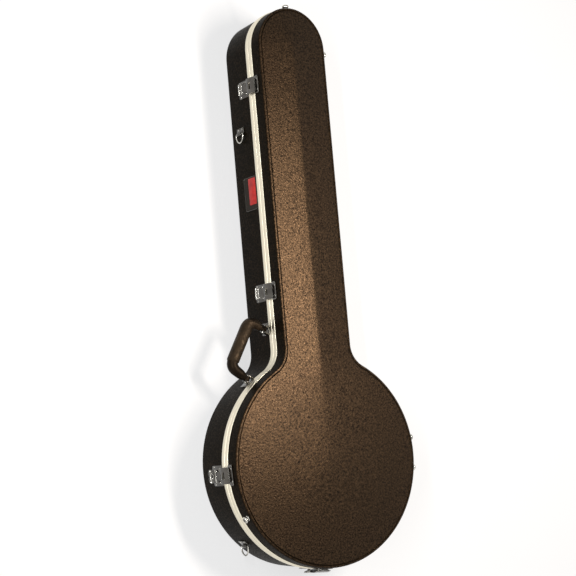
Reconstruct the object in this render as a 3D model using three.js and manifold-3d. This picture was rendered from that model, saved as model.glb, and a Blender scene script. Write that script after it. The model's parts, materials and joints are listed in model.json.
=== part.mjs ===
// Moulded case for a five-string resonator banjo, lying on its back, in millimetres.
// X runs across the case (handle and latches at -X, hinges at +X), Y along it towards the head
// end, Z up from the flat back to the lid. The origin is the centre of the round body, on the back.

import * as THREE from 'three';
import { mergeVertices } from 'three/addons/utils/BufferGeometryUtils.js';
import Module from 'manifold-3d';

const wasm = await Module();
wasm.setup();

// Driving sizes of the case

const outline = {
  bodyDiameter: 420,
  neckWidth: 156,
  waistRadius: 50,
  headTip: 916,
  headCrown: 82,
};
const depth = {
  base: 88,
  valance: 11.4,
  lid: 29.8,
  ridge: 4,
  parting: 0.3,
};
const shell = {
  wall: 3.5,
  baseDraft: 1.8,
  backRadius: 8,
  backRadiusInner: 4.5,
  lidDraft: 1,
  faceRadius: 4,
  faceRadiusInner: 3.2,
  bead: 0.8,
  grooveWidth: 2.4,
  grooveDepth: 1.2,
};
const fit = {
  seat: 0.3,
  running: 0.4,
  soft: 0.4,
  overrun: 5,
};
const valance = {
  flange: 1.2,
  innerFlange: 1.3,
  web: 3,
  bulge: 0.5,
  grip: 7.5,
  tongueWidth: 1.2,
  tongueHeight: 1.9,
  tonguePlace: 2,
  tongueGap: 0.7,
};

// Sizes of the lining and of what lies in it

const lining = {
  floor: 9.5,
  topDrop: 2.4,
  edge: 3,
  wellDiameter: 362,
  channelWidth: 90,
  headWellWidth: 124,
  headWellLength: 144,
  headWellTaper: 50,
  headWellCrown: 66,
  lidFootGap: 0.6,
  lidWall: 9,
  lidPad: 8,
  lidPadRadius: 3,
};
const rest = {
  height: 58,
  length: 42,
  notchWidth: 60,
  notchDepth: 24,
  notchFlare: 8,
  heelFromWell: 46.7,
  nutFromHead: 222,
};
const box = {
  fromRest: 26,
  length: 190,
  height: 33,
  wall: 5,
  ledge: 3,
  floor: 3,
  lid: 3.2,
  tabWidth: 16,
  tabReach: 14,
  tabThickness: 1.2,
};

// Sizes of the metal fittings

const latch = {
  upperFromHead: 75,
  lowerFromWaist: 115.7,
  bodyAngle: 183,
  tailAngle: -95,
  width: 35,
  plate: 1.2,
  plateHeight: 35.4,
  valanceGap: 0.6,
  leverWidth: 22,
  leverSheet: 1,
  leverLength: 19.5,
  leverOut: 7.9,
  leverFoot: 3.2,
  lip: 1.6,
  ear: 1.2,
  earDrop: 4.5,
  earOut: 6.6,
  pivotOut: 4.3,
  pivotDrop: 5,
  pivotRadius: 1.3,
  hookOut: 6.8,
  hookDrop: 7,
  hookPin: 1,
  hookSheet: 1.4,
  hookWidth: 17,
  clawWidth: 32,
  clawRise: 3,
  clawOver: 8.4,
  clawBulge: 1.4,
  windowWidth: 14,
  windowHeight: 9,
  keeperHeight: 15.3,
  keeperPlate: 1.1,
  lipStart: 2.5,
  lipOut: 4.3,
  lipSheet: 1.3,
  lipRise: 4.4,
  lipWidth: 26,
  ribs: 2,
  ribHeight: 0.5,
  ribWidth: 1.4,
  ribPitch: 3.4,
  ribStart: 2.6,
  rivetRadius: 1.9,
  rivetHeight: 0.8,
};
const clawShares = { outer: [0.22, 0.62], inner: [0.26, 0.58] };
const lock = {
  plateWidth: 40,
  leverWidth: 26,
  leverLength: 29,
  barrelRadius: 5,
  barrelProud: 1.6,
  barrelRise: 9.5,
  barrelSeat: 3,
  keyWidth: 1.2,
  keyLength: 6,
  keyDepth: 1,
  lobeRadius: 7,
  lobeDrop: 2,
};
const hinge = {
  length: 40,
  spacing: 66,
  leaf: 1.3,
  baseLeaf: 18,
  lidLeaf: 9.2,
  barrelRadius: 2.5,
  barrelOut: 4.4,
  pinRadius: 1.1,
  pinHead: 2.1,
  pinHeadLength: 1,
  knuckles: 3,
};
const handle = {
  drop: 4,
  axisOut: 10,
  upperFromWaist: 42.7,
  lowerAngle: 128.62,
  upperArm: 36.9,
  upperLean: 0.8,
  lowerArm: 42.3,
  lowerLean: 8.7,
  elbowRadius: 17,
  gripRadius: 13,
  eyeRadius: 6,
  eyeHalf: 5,
  taper: 31,
  pinRadius: 2,
  pinHead: 3.4,
  pinHeadLength: 1.2,
  lug: 2,
  plateWidth: 24,
  plateHeight: 23.6,
  plateThickness: 1.4,
};
const ring = {
  below: 46,
  fromHead: 161,
  bodyAngle: -134,
  clipWidth: 12,
  clipLength: 26,
  clipSheet: 1.2,
  loopRadius: 3.4,
  loopOut: 4,
  loopLength: 15,
  wireRadius: 1.5,
  width: 26,
  drop: 18,
  corner: 3,
  rivetPlace: 8.6,
  rivetRadius: 2.2,
  rivetHeight: 1,
};
const stud = {
  radius: 6.8,
  neckRadius: 5.4,
  height: 9.6,
  lidDrop: 11.9,
  bodyAngle: 8.3,
  fromHead: 8,
  lowAngle: 207,
};
const studShares = { neck: 0.35, rim: 0.5, shoulder: 0.78, crown: 0.95, crownRadius: 0.7 };
const badge = {
  fromHead: 288,
  below: 25,
  length: 68,
  width: 45,
  thickness: 1.4,
  corner: 3,
};
const rivetShares = { edge: 0.33, crownRadius: 0.6, keeperPlace: 0.6, plateDrop: 0.33 };
const ringShares = { shoulder: 0.6, flank: 0.54 };

// Facets of the curves

const facets = {
  body: 20,
  waist: 5,
  head: 8,
  well: 36,
  pin: 12,
  tube: 12,
  wire: 8,
  stud: 12,
  leaf: 5,
  heel: 6,
  edge: 3,
  innerEdge: 2,
  elbow: 4,
  ring: 5,
  corner: 3,
};

// Heights that follow from the sizes above

const bodyRadius = outline.bodyDiameter / 2;
const neckHalf = outline.neckWidth / 2;
const headCentre = outline.headTip - outline.headCrown;
const baseTop = depth.base + depth.valance;
const lidBottom = baseTop + depth.parting;
const lidWallStart = lidBottom + depth.valance;
const faceHeight = lidWallStart + depth.lid;
const wellRadius = lining.wellDiameter / 2;
const channelHalf = lining.channelWidth / 2;
const liningFloor = shell.wall + lining.floor;
const wellMouth = Math.sqrt(wellRadius ** 2 - channelHalf ** 2);
const waistX = neckHalf + outline.waistRadius;
const waistY = Math.sqrt((bodyRadius + outline.waistRadius) ** 2 - waistX ** 2);
const valanceOut = fit.seat + valance.flange + valance.bulge;

// Finishes

const finishes = {
  abs: { color: 0x1d1a17, roughness: 0.62, metalness: 0 },
  aluminium: { color: 0xcfcbc2, roughness: 0.34, metalness: 1 },
  chrome: { color: 0xd9dade, roughness: 0.12, metalness: 1 },
  grip: { color: 0x231b15, roughness: 0.5, metalness: 0 },
  plush: { color: 0x4a1418, roughness: 0.95, metalness: 0 },
  enamel: { color: 0x9c1b1b, roughness: 0.3, metalness: 0.1 },
  ribbon: { color: 0x17120f, roughness: 0.85, metalness: 0 },
};

const banjoCase = new THREE.Group();

function addPiece(name, geometry, finish, parent = banjoCase) {
  const mesh = new THREE.Mesh(geometry, new THREE.MeshStandardMaterial(finishes[finish]));
  mesh.name = name;
  parent.add(mesh);
  return mesh;
}

// Closed geometry from loose triangles, with its faces turned outwards

function closedGeometry(triangles) {
  const loose = new THREE.BufferGeometry();
  const numbers = triangles.flat().flatMap((p) => [p.x, p.y, p.z]);
  loose.setAttribute('position', new THREE.Float32BufferAttribute(numbers, 3));
  const merged = mergeVertices(loose);
  const index = merged.index.array;
  const kept = [];
  for (let i = 0; i < index.length; i += 3) {
    const [a, b, c] = [index[i], index[i + 1], index[i + 2]];
    if (a !== b && b !== c && c !== a) kept.push(a, b, c);
  }
  merged.setIndex(kept);
  return signedVolume(merged) < 0 ? turned(merged) : merged;
}

function signedVolume(geometry) {
  const place = geometry.attributes.position;
  const index = geometry.index.array;
  const [a, b, c] = [new THREE.Vector3(), new THREE.Vector3(), new THREE.Vector3()];
  let sum = 0;
  for (let i = 0; i < index.length; i += 3) {
    a.fromBufferAttribute(place, index[i]);
    b.fromBufferAttribute(place, index[i + 1]);
    c.fromBufferAttribute(place, index[i + 2]);
    sum += a.dot(b.cross(c));
  }
  return sum;
}

function turned(geometry) {
  const index = Array.from(geometry.index.array);
  for (let i = 0; i < index.length; i += 3) {
    [index[i + 1], index[i + 2]] = [index[i + 2], index[i + 1]];
  }
  geometry.setIndex(index);
  return geometry;
}

// Skin over loops of points that have the same count. A plan closes both ends.

function loft(loops, { closed = false, plan = null } = {}) {
  const triangles = [];
  const count = loops[0].length;
  const bands = closed ? loops.length : loops.length - 1;
  for (let k = 0; k < bands; k += 1) {
    const a = loops[k];
    const b = loops[(k + 1) % loops.length];
    for (let i = 0; i < count; i += 1) {
      const j = (i + 1) % count;
      triangles.push([a[i], a[j], b[j]], [a[i], b[j], b[i]]);
    }
  }
  if (plan) {
    const last = loops[loops.length - 1];
    for (const [p, q, r] of THREE.ShapeUtils.triangulateShape(plan, [])) {
      triangles.push([loops[0][r], loops[0][q], loops[0][p]], [last[p], last[q], last[r]]);
    }
  }
  return closedGeometry(triangles);
}

// Booleans

function toSolid(geometry) {
  const bare = geometry.clone();
  bare.deleteAttribute('normal');
  bare.deleteAttribute('uv');
  const merged = mergeVertices(bare);
  return new wasm.Manifold(new wasm.Mesh({
    numProp: 3,
    vertProperties: new Float32Array(merged.attributes.position.array),
    triVerts: new Uint32Array(merged.index.array),
  }));
}

function toGeometry(solid) {
  const mesh = solid.getMesh();
  const geometry = new THREE.BufferGeometry();
  geometry.setAttribute('position', new THREE.BufferAttribute(new Float32Array(mesh.vertProperties), 3));
  geometry.setIndex(Array.from(mesh.triVerts));
  return geometry;
}

function join(...geometries) {
  return toGeometry(geometries.map(toSolid).reduce((sum, next) => sum.add(next)));
}

function cut(geometry, ...tools) {
  return toGeometry(tools.map(toSolid).reduce((left, tool) => left.subtract(tool), toSolid(geometry)));
}

// Simple solids

function block(low, high) {
  const size = high.clone().sub(low);
  const geometry = new THREE.BoxGeometry(size.x, size.y, size.z);
  return geometry.translate((low.x + high.x) / 2, (low.y + high.y) / 2, (low.z + high.z) / 2);
}

function vector(x, y, z) {
  return new THREE.Vector3(x, y, z);
}

// Round bar along local Y at x, z
function crossBar(radius, halfLength, x, z, sides = facets.pin) {
  return new THREE.CylinderGeometry(radius, radius, 2 * halfLength, sides).translate(x, 0, z);
}

// Outline in x and z, as pairs of numbers, extruded from y = from to y = to
function sidePlate(points, from, to) {
  const shape = new THREE.Shape(points.map(([x, z]) => new THREE.Vector2(x, z)));
  const geometry = new THREE.ExtrudeGeometry(shape, { depth: to - from, bevelEnabled: false });
  return geometry.rotateX(Math.PI / 2).translate(0, to, 0);
}

// Outline of the case: samples with their outward normal, counter-clockwise from the tail

function outlineSamples() {
  const waistAngle = Math.atan2(waistY, waistX);
  const right = [];
  for (let i = 0; i <= facets.body; i += 1) {
    const a = -Math.PI / 2 + ((waistAngle + Math.PI / 2) * i) / facets.body;
    right.push({
      x: bodyRadius * Math.cos(a), y: bodyRadius * Math.sin(a), nx: Math.cos(a), ny: Math.sin(a),
    });
  }
  for (let i = 1; i <= facets.waist; i += 1) {
    const a = Math.PI + waistAngle * (1 - i / facets.waist);
    right.push({
      x: waistX + outline.waistRadius * Math.cos(a),
      y: waistY + outline.waistRadius * Math.sin(a),
      nx: -Math.cos(a),
      ny: -Math.sin(a),
    });
  }
  for (let i = 0; i <= facets.head; i += 1) {
    const a = ((Math.PI / 2) * i) / facets.head;
    const normal = new THREE.Vector2(Math.cos(a) / neckHalf, Math.sin(a) / outline.headCrown).normalize();
    right.push({
      x: i === facets.head ? 0 : neckHalf * Math.cos(a),
      y: headCentre + outline.headCrown * Math.sin(a),
      nx: i === facets.head ? 0 : normal.x,
      ny: normal.y,
    });
  }
  right[0].x = 0;
  right[0].nx = 0;
  const left = right.slice(1, -1).reverse().map((s) => ({ x: -s.x, y: s.y, nx: -s.nx, ny: s.ny }));
  return [...right, ...left];
}

const samples = outlineSamples();

// Loop round the case, offset outwards from the outline, at height z
function hoop(offset, z) {
  return samples.map((s) => vector(s.x + s.nx * offset, s.y + s.ny * offset, z));
}

// Centre line that closes a hoop: the ridge of the lid, or the middle of a flat face
function ridgeLine(z) {
  return samples.map((s) => vector(0, Math.min(Math.max(s.y, 0), headCentre), z));
}

// Quarter round between a wall and a face, as pairs of offset and height
function quarterRound(wallOffset, faceZ, radius, direction, steps) {
  const points = [];
  for (let i = 0; i <= steps; i += 1) {
    const a = ((Math.PI / 2) * i) / steps;
    points.push([
      wallOffset - radius * (1 - Math.cos(a)),
      faceZ - direction * radius * (1 - Math.sin(a)),
    ]);
  }
  return points;
}

const hoops = (pairs) => pairs.map(([offset, z]) => hoop(offset, z));

// Shells

const valanceInner = shell.wall + fit.seat + valance.innerFlange;
const baseWallTop = baseTop - valance.flange - fit.seat;
const lidWallFoot = lidBottom + valance.web + fit.seat;

function baseShell() {
  const outerEdge = quarterRound(-shell.baseDraft, 0, shell.backRadius, -1, facets.edge);
  const innerEdge = quarterRound(
    -shell.baseDraft - shell.wall, shell.wall, shell.backRadiusInner, -1, facets.innerEdge,
  );
  return loft([
    ridgeLine(0),
    ...hoops(outerEdge.reverse()),
    hoop(0, depth.base),
    hoop(0, baseWallTop),
    hoop(-shell.wall, baseWallTop),
    hoop(-shell.wall, depth.base),
    ...hoops(innerEdge),
    ridgeLine(shell.wall),
  ]);
}

function lidShell() {
  const outerEdge = quarterRound(-shell.lidDraft, faceHeight, shell.faceRadius, 1, facets.edge);
  const innerZ = faceHeight - shell.wall;
  const innerEdge = quarterRound(-shell.lidDraft - shell.wall, innerZ, shell.faceRadiusInner, 1, 1);
  const beadEnd = -shell.lidDraft - shell.faceRadius - shell.bead;
  const grooveEnd = beadEnd - shell.grooveWidth;
  return loft([
    ridgeLine(innerZ + depth.ridge),
    ...hoops(innerEdge.reverse()),
    hoop(-shell.wall, lidWallStart),
    hoop(-shell.wall, lidWallFoot),
    hoop(0, lidWallFoot),
    hoop(0, lidWallStart),
    ...hoops(outerEdge),
    hoop(beadEnd, faceHeight),
    hoop((beadEnd + grooveEnd) / 2, faceHeight - shell.grooveDepth),
    hoop(grooveEnd, faceHeight),
    ridgeLine(faceHeight + depth.ridge),
  ]);
}

addPiece('base_shell', baseShell(), 'abs');
addPiece('lid_shell', lidShell(), 'abs');

// Valances: extrusions that grip the edges of the two shells, with a tongue and a groove between

function baseValance() {
  const outer = fit.seat + valance.flange;
  const webUnder = baseWallTop + fit.seat;
  const tongue = [-valance.tonguePlace + valance.tongueWidth / 2, -valance.tonguePlace - valance.tongueWidth / 2];
  return loft(hoops([
    [fit.seat, depth.base],
    [outer, depth.base],
    [outer + valance.bulge, depth.base + depth.valance / 2],
    [outer, baseTop],
    [tongue[0], baseTop],
    [tongue[0], baseTop + valance.tongueHeight],
    [tongue[1], baseTop + valance.tongueHeight],
    [tongue[1], baseTop],
    [-valanceInner, baseTop],
    [-valanceInner, baseTop - valance.grip],
    [-shell.wall - fit.seat, baseTop - valance.grip],
    [-shell.wall - fit.seat, webUnder],
    [fit.seat, webUnder],
  ]), { closed: true });
}

function lidValance() {
  const outer = fit.seat + valance.flange;
  const webOver = lidBottom + valance.web;
  const half = valance.tongueWidth / 2 + valance.tongueGap;
  const grooveTop = lidBottom + valance.tongueHeight + fit.seat;
  return loft(hoops([
    [outer, lidBottom],
    [outer + valance.bulge, lidBottom + depth.valance / 2],
    [outer, lidWallStart],
    [fit.seat, lidWallStart],
    [fit.seat, webOver],
    [-shell.wall - fit.seat, webOver],
    [-shell.wall - fit.seat, lidBottom + valance.grip],
    [-valanceInner, lidBottom + valance.grip],
    [-valanceInner, lidBottom],
    [-valance.tonguePlace - half, lidBottom],
    [-valance.tonguePlace - half, grooveTop],
    [-valance.tonguePlace + half, grooveTop],
    [-valance.tonguePlace + half, lidBottom],
  ]), { closed: true });
}

addPiece('base_valance', baseValance(), 'aluminium');
addPiece('lid_valance', lidValance(), 'aluminium');

// Linings: plush over foam, with the banjo-shaped well in the base

function wellShape() {
  const headHalf = lining.headWellWidth / 2;
  const headStart = headCentre - lining.headWellLength;
  const shape = new THREE.Shape();
  shape.moveTo(channelHalf, wellMouth);
  shape.lineTo(channelHalf, headStart - lining.headWellTaper);
  shape.lineTo(headHalf, headStart);
  shape.lineTo(headHalf, headCentre);
  shape.absellipse(0, headCentre, headHalf, lining.headWellCrown, 0, Math.PI, false, 0);
  shape.lineTo(-headHalf, headStart);
  shape.lineTo(-channelHalf, headStart - lining.headWellTaper);
  shape.lineTo(-channelHalf, wellMouth);
  const start = Math.atan2(wellMouth, -channelHalf);
  const end = Math.atan2(wellMouth, channelHalf);
  shape.absarc(0, 0, wellRadius, start, end + 2 * Math.PI, false);
  return shape;
}

function baseLining() {
  const clear = shell.wall + fit.soft;
  const side = -valanceInner - fit.soft;
  const floorZ = shell.wall + fit.soft;
  const low = -shell.baseDraft - clear - shell.backRadiusInner;
  const top = baseTop - lining.topDrop;
  const body = loft([
    ridgeLine(floorZ),
    hoop(low, floorZ),
    hoop(side, floorZ + shell.backRadiusInner + fit.overrun),
    hoop(side, top - lining.edge),
    hoop(side - lining.edge, top),
    ridgeLine(top),
  ]);
  const well = new THREE.ExtrudeGeometry(wellShape(), {
    depth: baseTop, bevelEnabled: false, curveSegments: facets.well,
  }).translate(0, 0, liningFloor);
  return cut(body, well);
}

function lidLining() {
  const side = -valanceInner - fit.soft;
  const top = faceHeight - shell.wall - fit.soft;
  const under = top - lining.lidPad;
  const inner = side - lining.lidWall;
  const foot = lidWallFoot + lining.lidFootGap;
  return loft([
    ridgeLine(under),
    hoop(inner - lining.lidPadRadius, under),
    hoop(inner, under - lining.lidPadRadius),
    hoop(inner, foot),
    hoop(side, foot),
    hoop(side, top - shell.faceRadiusInner - fit.soft),
    hoop(side - shell.faceRadiusInner, top),
    ridgeLine(top),
  ]);
}

addPiece('base_lining', baseLining(), 'plush');
addPiece('lid_lining', lidLining(), 'plush');

// Neck rests: padded blocks across the channel, notched for the neck

function neckRest(place) {
  const half = channelHalf - fit.soft;
  const low = liningFloor + fit.soft;
  const high = low + rest.height;
  const notch = high - rest.notchDepth;
  const inner = rest.notchWidth / 2;
  return sidePlate([
    [-half, low],
    [half, low],
    [half, high],
    [inner + rest.notchFlare / 2, high],
    [inner - rest.notchFlare / 2, notch],
    [-inner + rest.notchFlare / 2, notch],
    [-inner - rest.notchFlare / 2, high],
    [-half, high],
  ], place, place + rest.length);
}

const heelRest = wellMouth + rest.heelFromWell;
addPiece('neck_rest_heel', neckRest(heelRest), 'plush');
addPiece('neck_rest_nut', neckRest(headCentre - rest.nutFromHead), 'plush');

// Accessory box in the neck channel, with a lid hinged along its left edge

const boxHalf = channelHalf - fit.soft;
const boxLow = liningFloor + fit.soft;
const boxTop = boxLow + box.height;
const boxStart = heelRest + rest.length + box.fromRest;
const boxEnd = boxStart + box.length;
const boxLid = {
  low: vector(-boxHalf + box.wall + fit.running, boxStart + box.wall + fit.running, boxTop - box.lid),
  high: vector(boxHalf - box.wall - fit.running, boxEnd - box.wall - fit.running, boxTop),
};

function accessoryBox() {
  const body = block(vector(-boxHalf, boxStart, boxLow), vector(boxHalf, boxEnd, boxTop));
  const rim = block(
    vector(-boxHalf + box.wall, boxStart + box.wall, boxTop - box.lid - fit.seat),
    vector(boxHalf - box.wall, boxEnd - box.wall, boxTop + fit.overrun),
  );
  const inset = box.wall + box.ledge;
  const pocket = block(
    vector(-boxHalf + inset, boxStart + inset, boxLow + box.floor),
    vector(boxHalf - inset, boxEnd - inset, boxTop + fit.overrun),
  );
  return cut(body, rim, pocket);
}

function pullTab() {
  const middle = (boxStart + boxEnd) / 2;
  return block(
    vector(boxLid.high.x - box.tabReach, middle - box.tabWidth / 2, boxTop + fit.soft),
    vector(boxLid.high.x, middle + box.tabWidth / 2, boxTop + fit.soft + box.tabThickness),
  );
}

addPiece('accessory_box', accessoryBox(), 'plush');
addPiece('accessory_lid', block(boxLid.low, boxLid.high), 'plush');
addPiece('accessory_pull_tab', pullTab(), 'ribbon');

// Frames on the wall: local X points outwards, local Y along the wall, Z stays up

function wallFrame(x, y, angle) {
  const frame = new THREE.Group();
  frame.position.set(x, y, 0);
  frame.rotation.z = angle;
  banjoCase.add(frame);
  return frame;
}

function bodyFrame(degrees) {
  const angle = THREE.MathUtils.degToRad(degrees);
  return wallFrame(bodyRadius * Math.cos(angle), bodyRadius * Math.sin(angle), angle);
}

function neckFrame(y, side) {
  return wallFrame(side * neckHalf, y, side < 0 ? Math.PI : 0);
}

// Offset of the drafted wall from the outline at a height
function wallOffset(z) {
  if (z < depth.base) {
    return (-shell.baseDraft * (depth.base - z)) / (depth.base - shell.backRadius);
  }
  return (-shell.lidDraft * (z - lidWallStart)) / (depth.lid - shell.faceRadius);
}

// Domed rivet head on a plate, at y and z, standing outwards from x
function rivetHead(radius, height, x, y, z) {
  const profile = [
    new THREE.Vector2(0, -height),
    new THREE.Vector2(radius, -height),
    new THREE.Vector2(radius, height * rivetShares.edge),
    new THREE.Vector2(radius * rivetShares.crownRadius, height),
    new THREE.Vector2(0, height),
  ];
  return new THREE.LatheGeometry(profile, facets.wire).rotateZ(-Math.PI / 2).translate(x, y, z);
}

// Draw latches

const plateTop = depth.base - latch.valanceGap;
const plateLow = plateTop - latch.plateHeight;
const pivotZ = depth.base - latch.pivotDrop;
const hookZ = pivotZ - latch.hookDrop;
const leverFace = latch.leverOut + latch.leverSheet;

function latchPlate(width, leverWidth) {
  const face = fit.running + latch.plate;
  const half = width / 2;
  const earInner = leverWidth / 2 + fit.running;
  const earOuter = earInner + latch.ear;
  const earLow = pivotZ - latch.earDrop;
  const plate = block(vector(fit.running, -half, plateLow), vector(face, half, plateTop));
  const earShape = [
    [face - latch.plate / 2, earLow],
    [latch.earOut - latch.pivotRadius, earLow],
    [latch.earOut, earLow + latch.pivotRadius],
    [latch.earOut, plateTop - latch.pivotRadius],
    [latch.earOut - latch.pivotRadius, plateTop],
    [face - latch.plate / 2, plateTop],
  ];
  const rivetY = (half + earInner) / 2;
  const rivets = [-1, 1].map((side) => rivetHead(
    latch.rivetRadius, latch.rivetHeight, face, side * rivetY, plateLow + half * rivetShares.plateDrop,
  ));
  return join(
    plate,
    sidePlate(earShape, earInner, earOuter),
    sidePlate(earShape, -earOuter, -earInner),
    crossBar(latch.pivotRadius, earOuter, latch.pivotOut, pivotZ),
    ...rivets,
  );
}

function latchLever(width, length) {
  const half = width / 2;
  const leverLow = pivotZ - length;
  const cheekInner = half - latch.leverSheet;
  const faceTop = hookZ - latch.leverFoot;
  const heelRadius = latch.pivotRadius + latch.leverSheet;
  const heel = new THREE.Path().absarc(
    latch.pivotOut, pivotZ, heelRadius, (4 / 3) * Math.PI, Math.PI / 4, true,
  ).getPoints(facets.heel);
  const cheek = [
    ...heel.map((p) => [p.x, p.y]),
    [leverFace, hookZ + latch.leverSheet],
    [leverFace, leverLow],
    [latch.leverOut - latch.leverSheet, leverLow],
    [latch.pivotOut, faceTop],
  ];
  const face = sidePlate([
    [latch.leverOut, leverLow],
    [leverFace + latch.lip, leverLow],
    [leverFace, leverLow + latch.lip],
    [leverFace, faceTop],
    [latch.leverOut, faceTop],
  ], -half, half);
  const ribs = [];
  for (let i = 0; i < latch.ribs; i += 1) {
    const z = leverLow + latch.ribStart + i * latch.ribPitch;
    ribs.push(block(
      vector(leverFace - latch.ribHeight, -cheekInner, z),
      vector(leverFace + latch.ribHeight, cheekInner, z + latch.ribWidth),
    ));
  }
  const body = join(face, sidePlate(cheek, cheekInner, half), sidePlate(cheek, -half, -cheekInner), ...ribs);
  return cut(
    body,
    crossBar(latch.pivotRadius + fit.seat, width, latch.pivotOut, pivotZ),
    crossBar(latch.hookPin + fit.seat, width, latch.hookOut, hookZ),
  );
}

function latchHook(leverWidth) {
  const half = latch.hookSheet / 2;
  const x = latch.hookOut;
  const clawX = x + latch.clawBulge;
  const low = depth.base + latch.clawRise;
  const top = lidWallStart + latch.clawOver;
  const end = latch.lipOut + fit.running;
  const at = (share) => low + (top - low) * share;
  const strap = sidePlate([
    [x - half, hookZ - latch.hookSheet],
    [x + half, hookZ - latch.hookSheet],
    [x + half, low + half],
    [x - half, low + half],
  ], -latch.hookWidth / 2, latch.hookWidth / 2);
  const plate = sidePlate([
    [x - half, low - half],
    [x + half, low - half],
    [clawX + half, at(clawShares.outer[0])],
    [clawX + half, at(clawShares.outer[1])],
    [end + 2 * half, top - half],
    [end + half, top],
    [end, top - half],
    [end, top - 2 * latch.hookSheet],
    [clawX - half, at(clawShares.inner[1])],
    [clawX - half, at(clawShares.inner[0])],
  ], -latch.clawWidth / 2, latch.clawWidth / 2);
  const window = block(
    vector(x - fit.overrun, -latch.windowWidth / 2, at(clawShares.inner[0])),
    vector(clawX + fit.overrun, latch.windowWidth / 2, at(clawShares.inner[0]) + latch.windowHeight),
  );
  return cut(join(strap, plate, crossBar(latch.hookPin, leverWidth / 2, x, hookZ)), window);
}

function latchKeeper(width) {
  const face = fit.running + latch.keeperPlate;
  const half = width / 2;
  const low = lidWallStart + latch.valanceGap;
  const high = low + latch.keeperHeight;
  const lipLow = low + latch.lipStart;
  const shelf = lipLow + latch.lipSheet;
  const plate = block(vector(fit.running, -half, low), vector(face, half, high));
  const lip = sidePlate([
    [face - latch.keeperPlate / 2, lipLow],
    [latch.lipOut, lipLow],
    [latch.lipOut, lipLow + latch.lipRise],
    [latch.lipOut - latch.lipSheet, lipLow + latch.lipRise],
    [latch.lipOut - latch.lipSheet, shelf],
    [face - latch.keeperPlate / 2, shelf],
  ], -latch.lipWidth / 2, latch.lipWidth / 2);
  const rivetZ = (lipLow + latch.lipRise + high + latch.lipSheet) / 2;
  const rivets = [-1, 1].map((side) => rivetHead(
    latch.rivetRadius, latch.rivetHeight, face, side * half * rivetShares.keeperPlace, rivetZ,
  ));
  return join(plate, lip, ...rivets);
}

// Locking latch: two rounded thumb lobes below its lever, and a bore for the key cylinder

const lockLow = pivotZ - lock.leverLength;
const barrelZ = lockLow + lock.barrelRise;
const barrelEnd = leverFace + lock.barrelProud;

function lockLever() {
  const lobes = [-1, 1].map((side) => new THREE.CylinderGeometry(
    lock.lobeRadius, lock.lobeRadius, latch.leverSheet, facets.stud,
  ).rotateZ(Math.PI / 2).translate(
    latch.leverOut + latch.leverSheet / 2,
    side * (lock.leverWidth / 2 - lock.lobeRadius),
    lockLow - lock.lobeDrop,
  ));
  const bore = new THREE.CylinderGeometry(
    lock.barrelRadius + fit.running, lock.barrelRadius + fit.running, 2 * barrelEnd, facets.pin,
  ).rotateZ(Math.PI / 2).translate(barrelEnd, 0, barrelZ);
  return cut(join(latchLever(lock.leverWidth, lock.leverLength), ...lobes), bore);
}

function lockCylinder() {
  const length = barrelEnd - latch.leverOut + lock.barrelSeat;
  const barrel = new THREE.CylinderGeometry(lock.barrelRadius, lock.barrelRadius, length, facets.pin)
    .rotateZ(Math.PI / 2).translate(barrelEnd - length / 2, 0, barrelZ);
  const key = block(
    vector(barrelEnd - lock.keyDepth, -lock.keyWidth / 2, barrelZ - lock.keyLength / 2),
    vector(barrelEnd + fit.overrun, lock.keyWidth / 2, barrelZ + lock.keyLength / 2),
  );
  return cut(barrel, key);
}

const latches = [
  { name: 'neck_upper', frame: neckFrame(headCentre - latch.upperFromHead, -1) },
  { name: 'neck_lower', frame: neckFrame(waistY + latch.lowerFromWaist, -1) },
  { name: 'body', frame: bodyFrame(latch.bodyAngle), locking: true },
  { name: 'tail', frame: bodyFrame(latch.tailAngle) },
];
for (const { name, frame, locking } of latches) {
  const leverWidth = locking ? lock.leverWidth : latch.leverWidth;
  const width = locking ? lock.plateWidth : latch.width;
  const lever = locking ? lockLever() : latchLever(leverWidth, latch.leverLength);
  addPiece(`latch_${name}_plate`, latchPlate(width, leverWidth), 'chrome', frame);
  addPiece(`latch_${name}_lever`, lever, 'chrome', frame);
  addPiece(`latch_${name}_hook`, latchHook(leverWidth), 'chrome', frame);
  addPiece(`latch_${name}_keeper`, latchKeeper(width), 'chrome', frame);
  if (locking) addPiece('lock_cylinder', lockCylinder(), 'chrome', frame);
}

// Hinges: leaves bent to the round wall, with their barrels on one straight line

const hingeAxis = {
  x: bodyRadius + hinge.barrelOut,
  z: baseTop + depth.parting / 2,
};
const leafSeat = valanceOut + fit.running;
const leafRadius = bodyRadius + leafSeat + hinge.leaf / 2;

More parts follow.
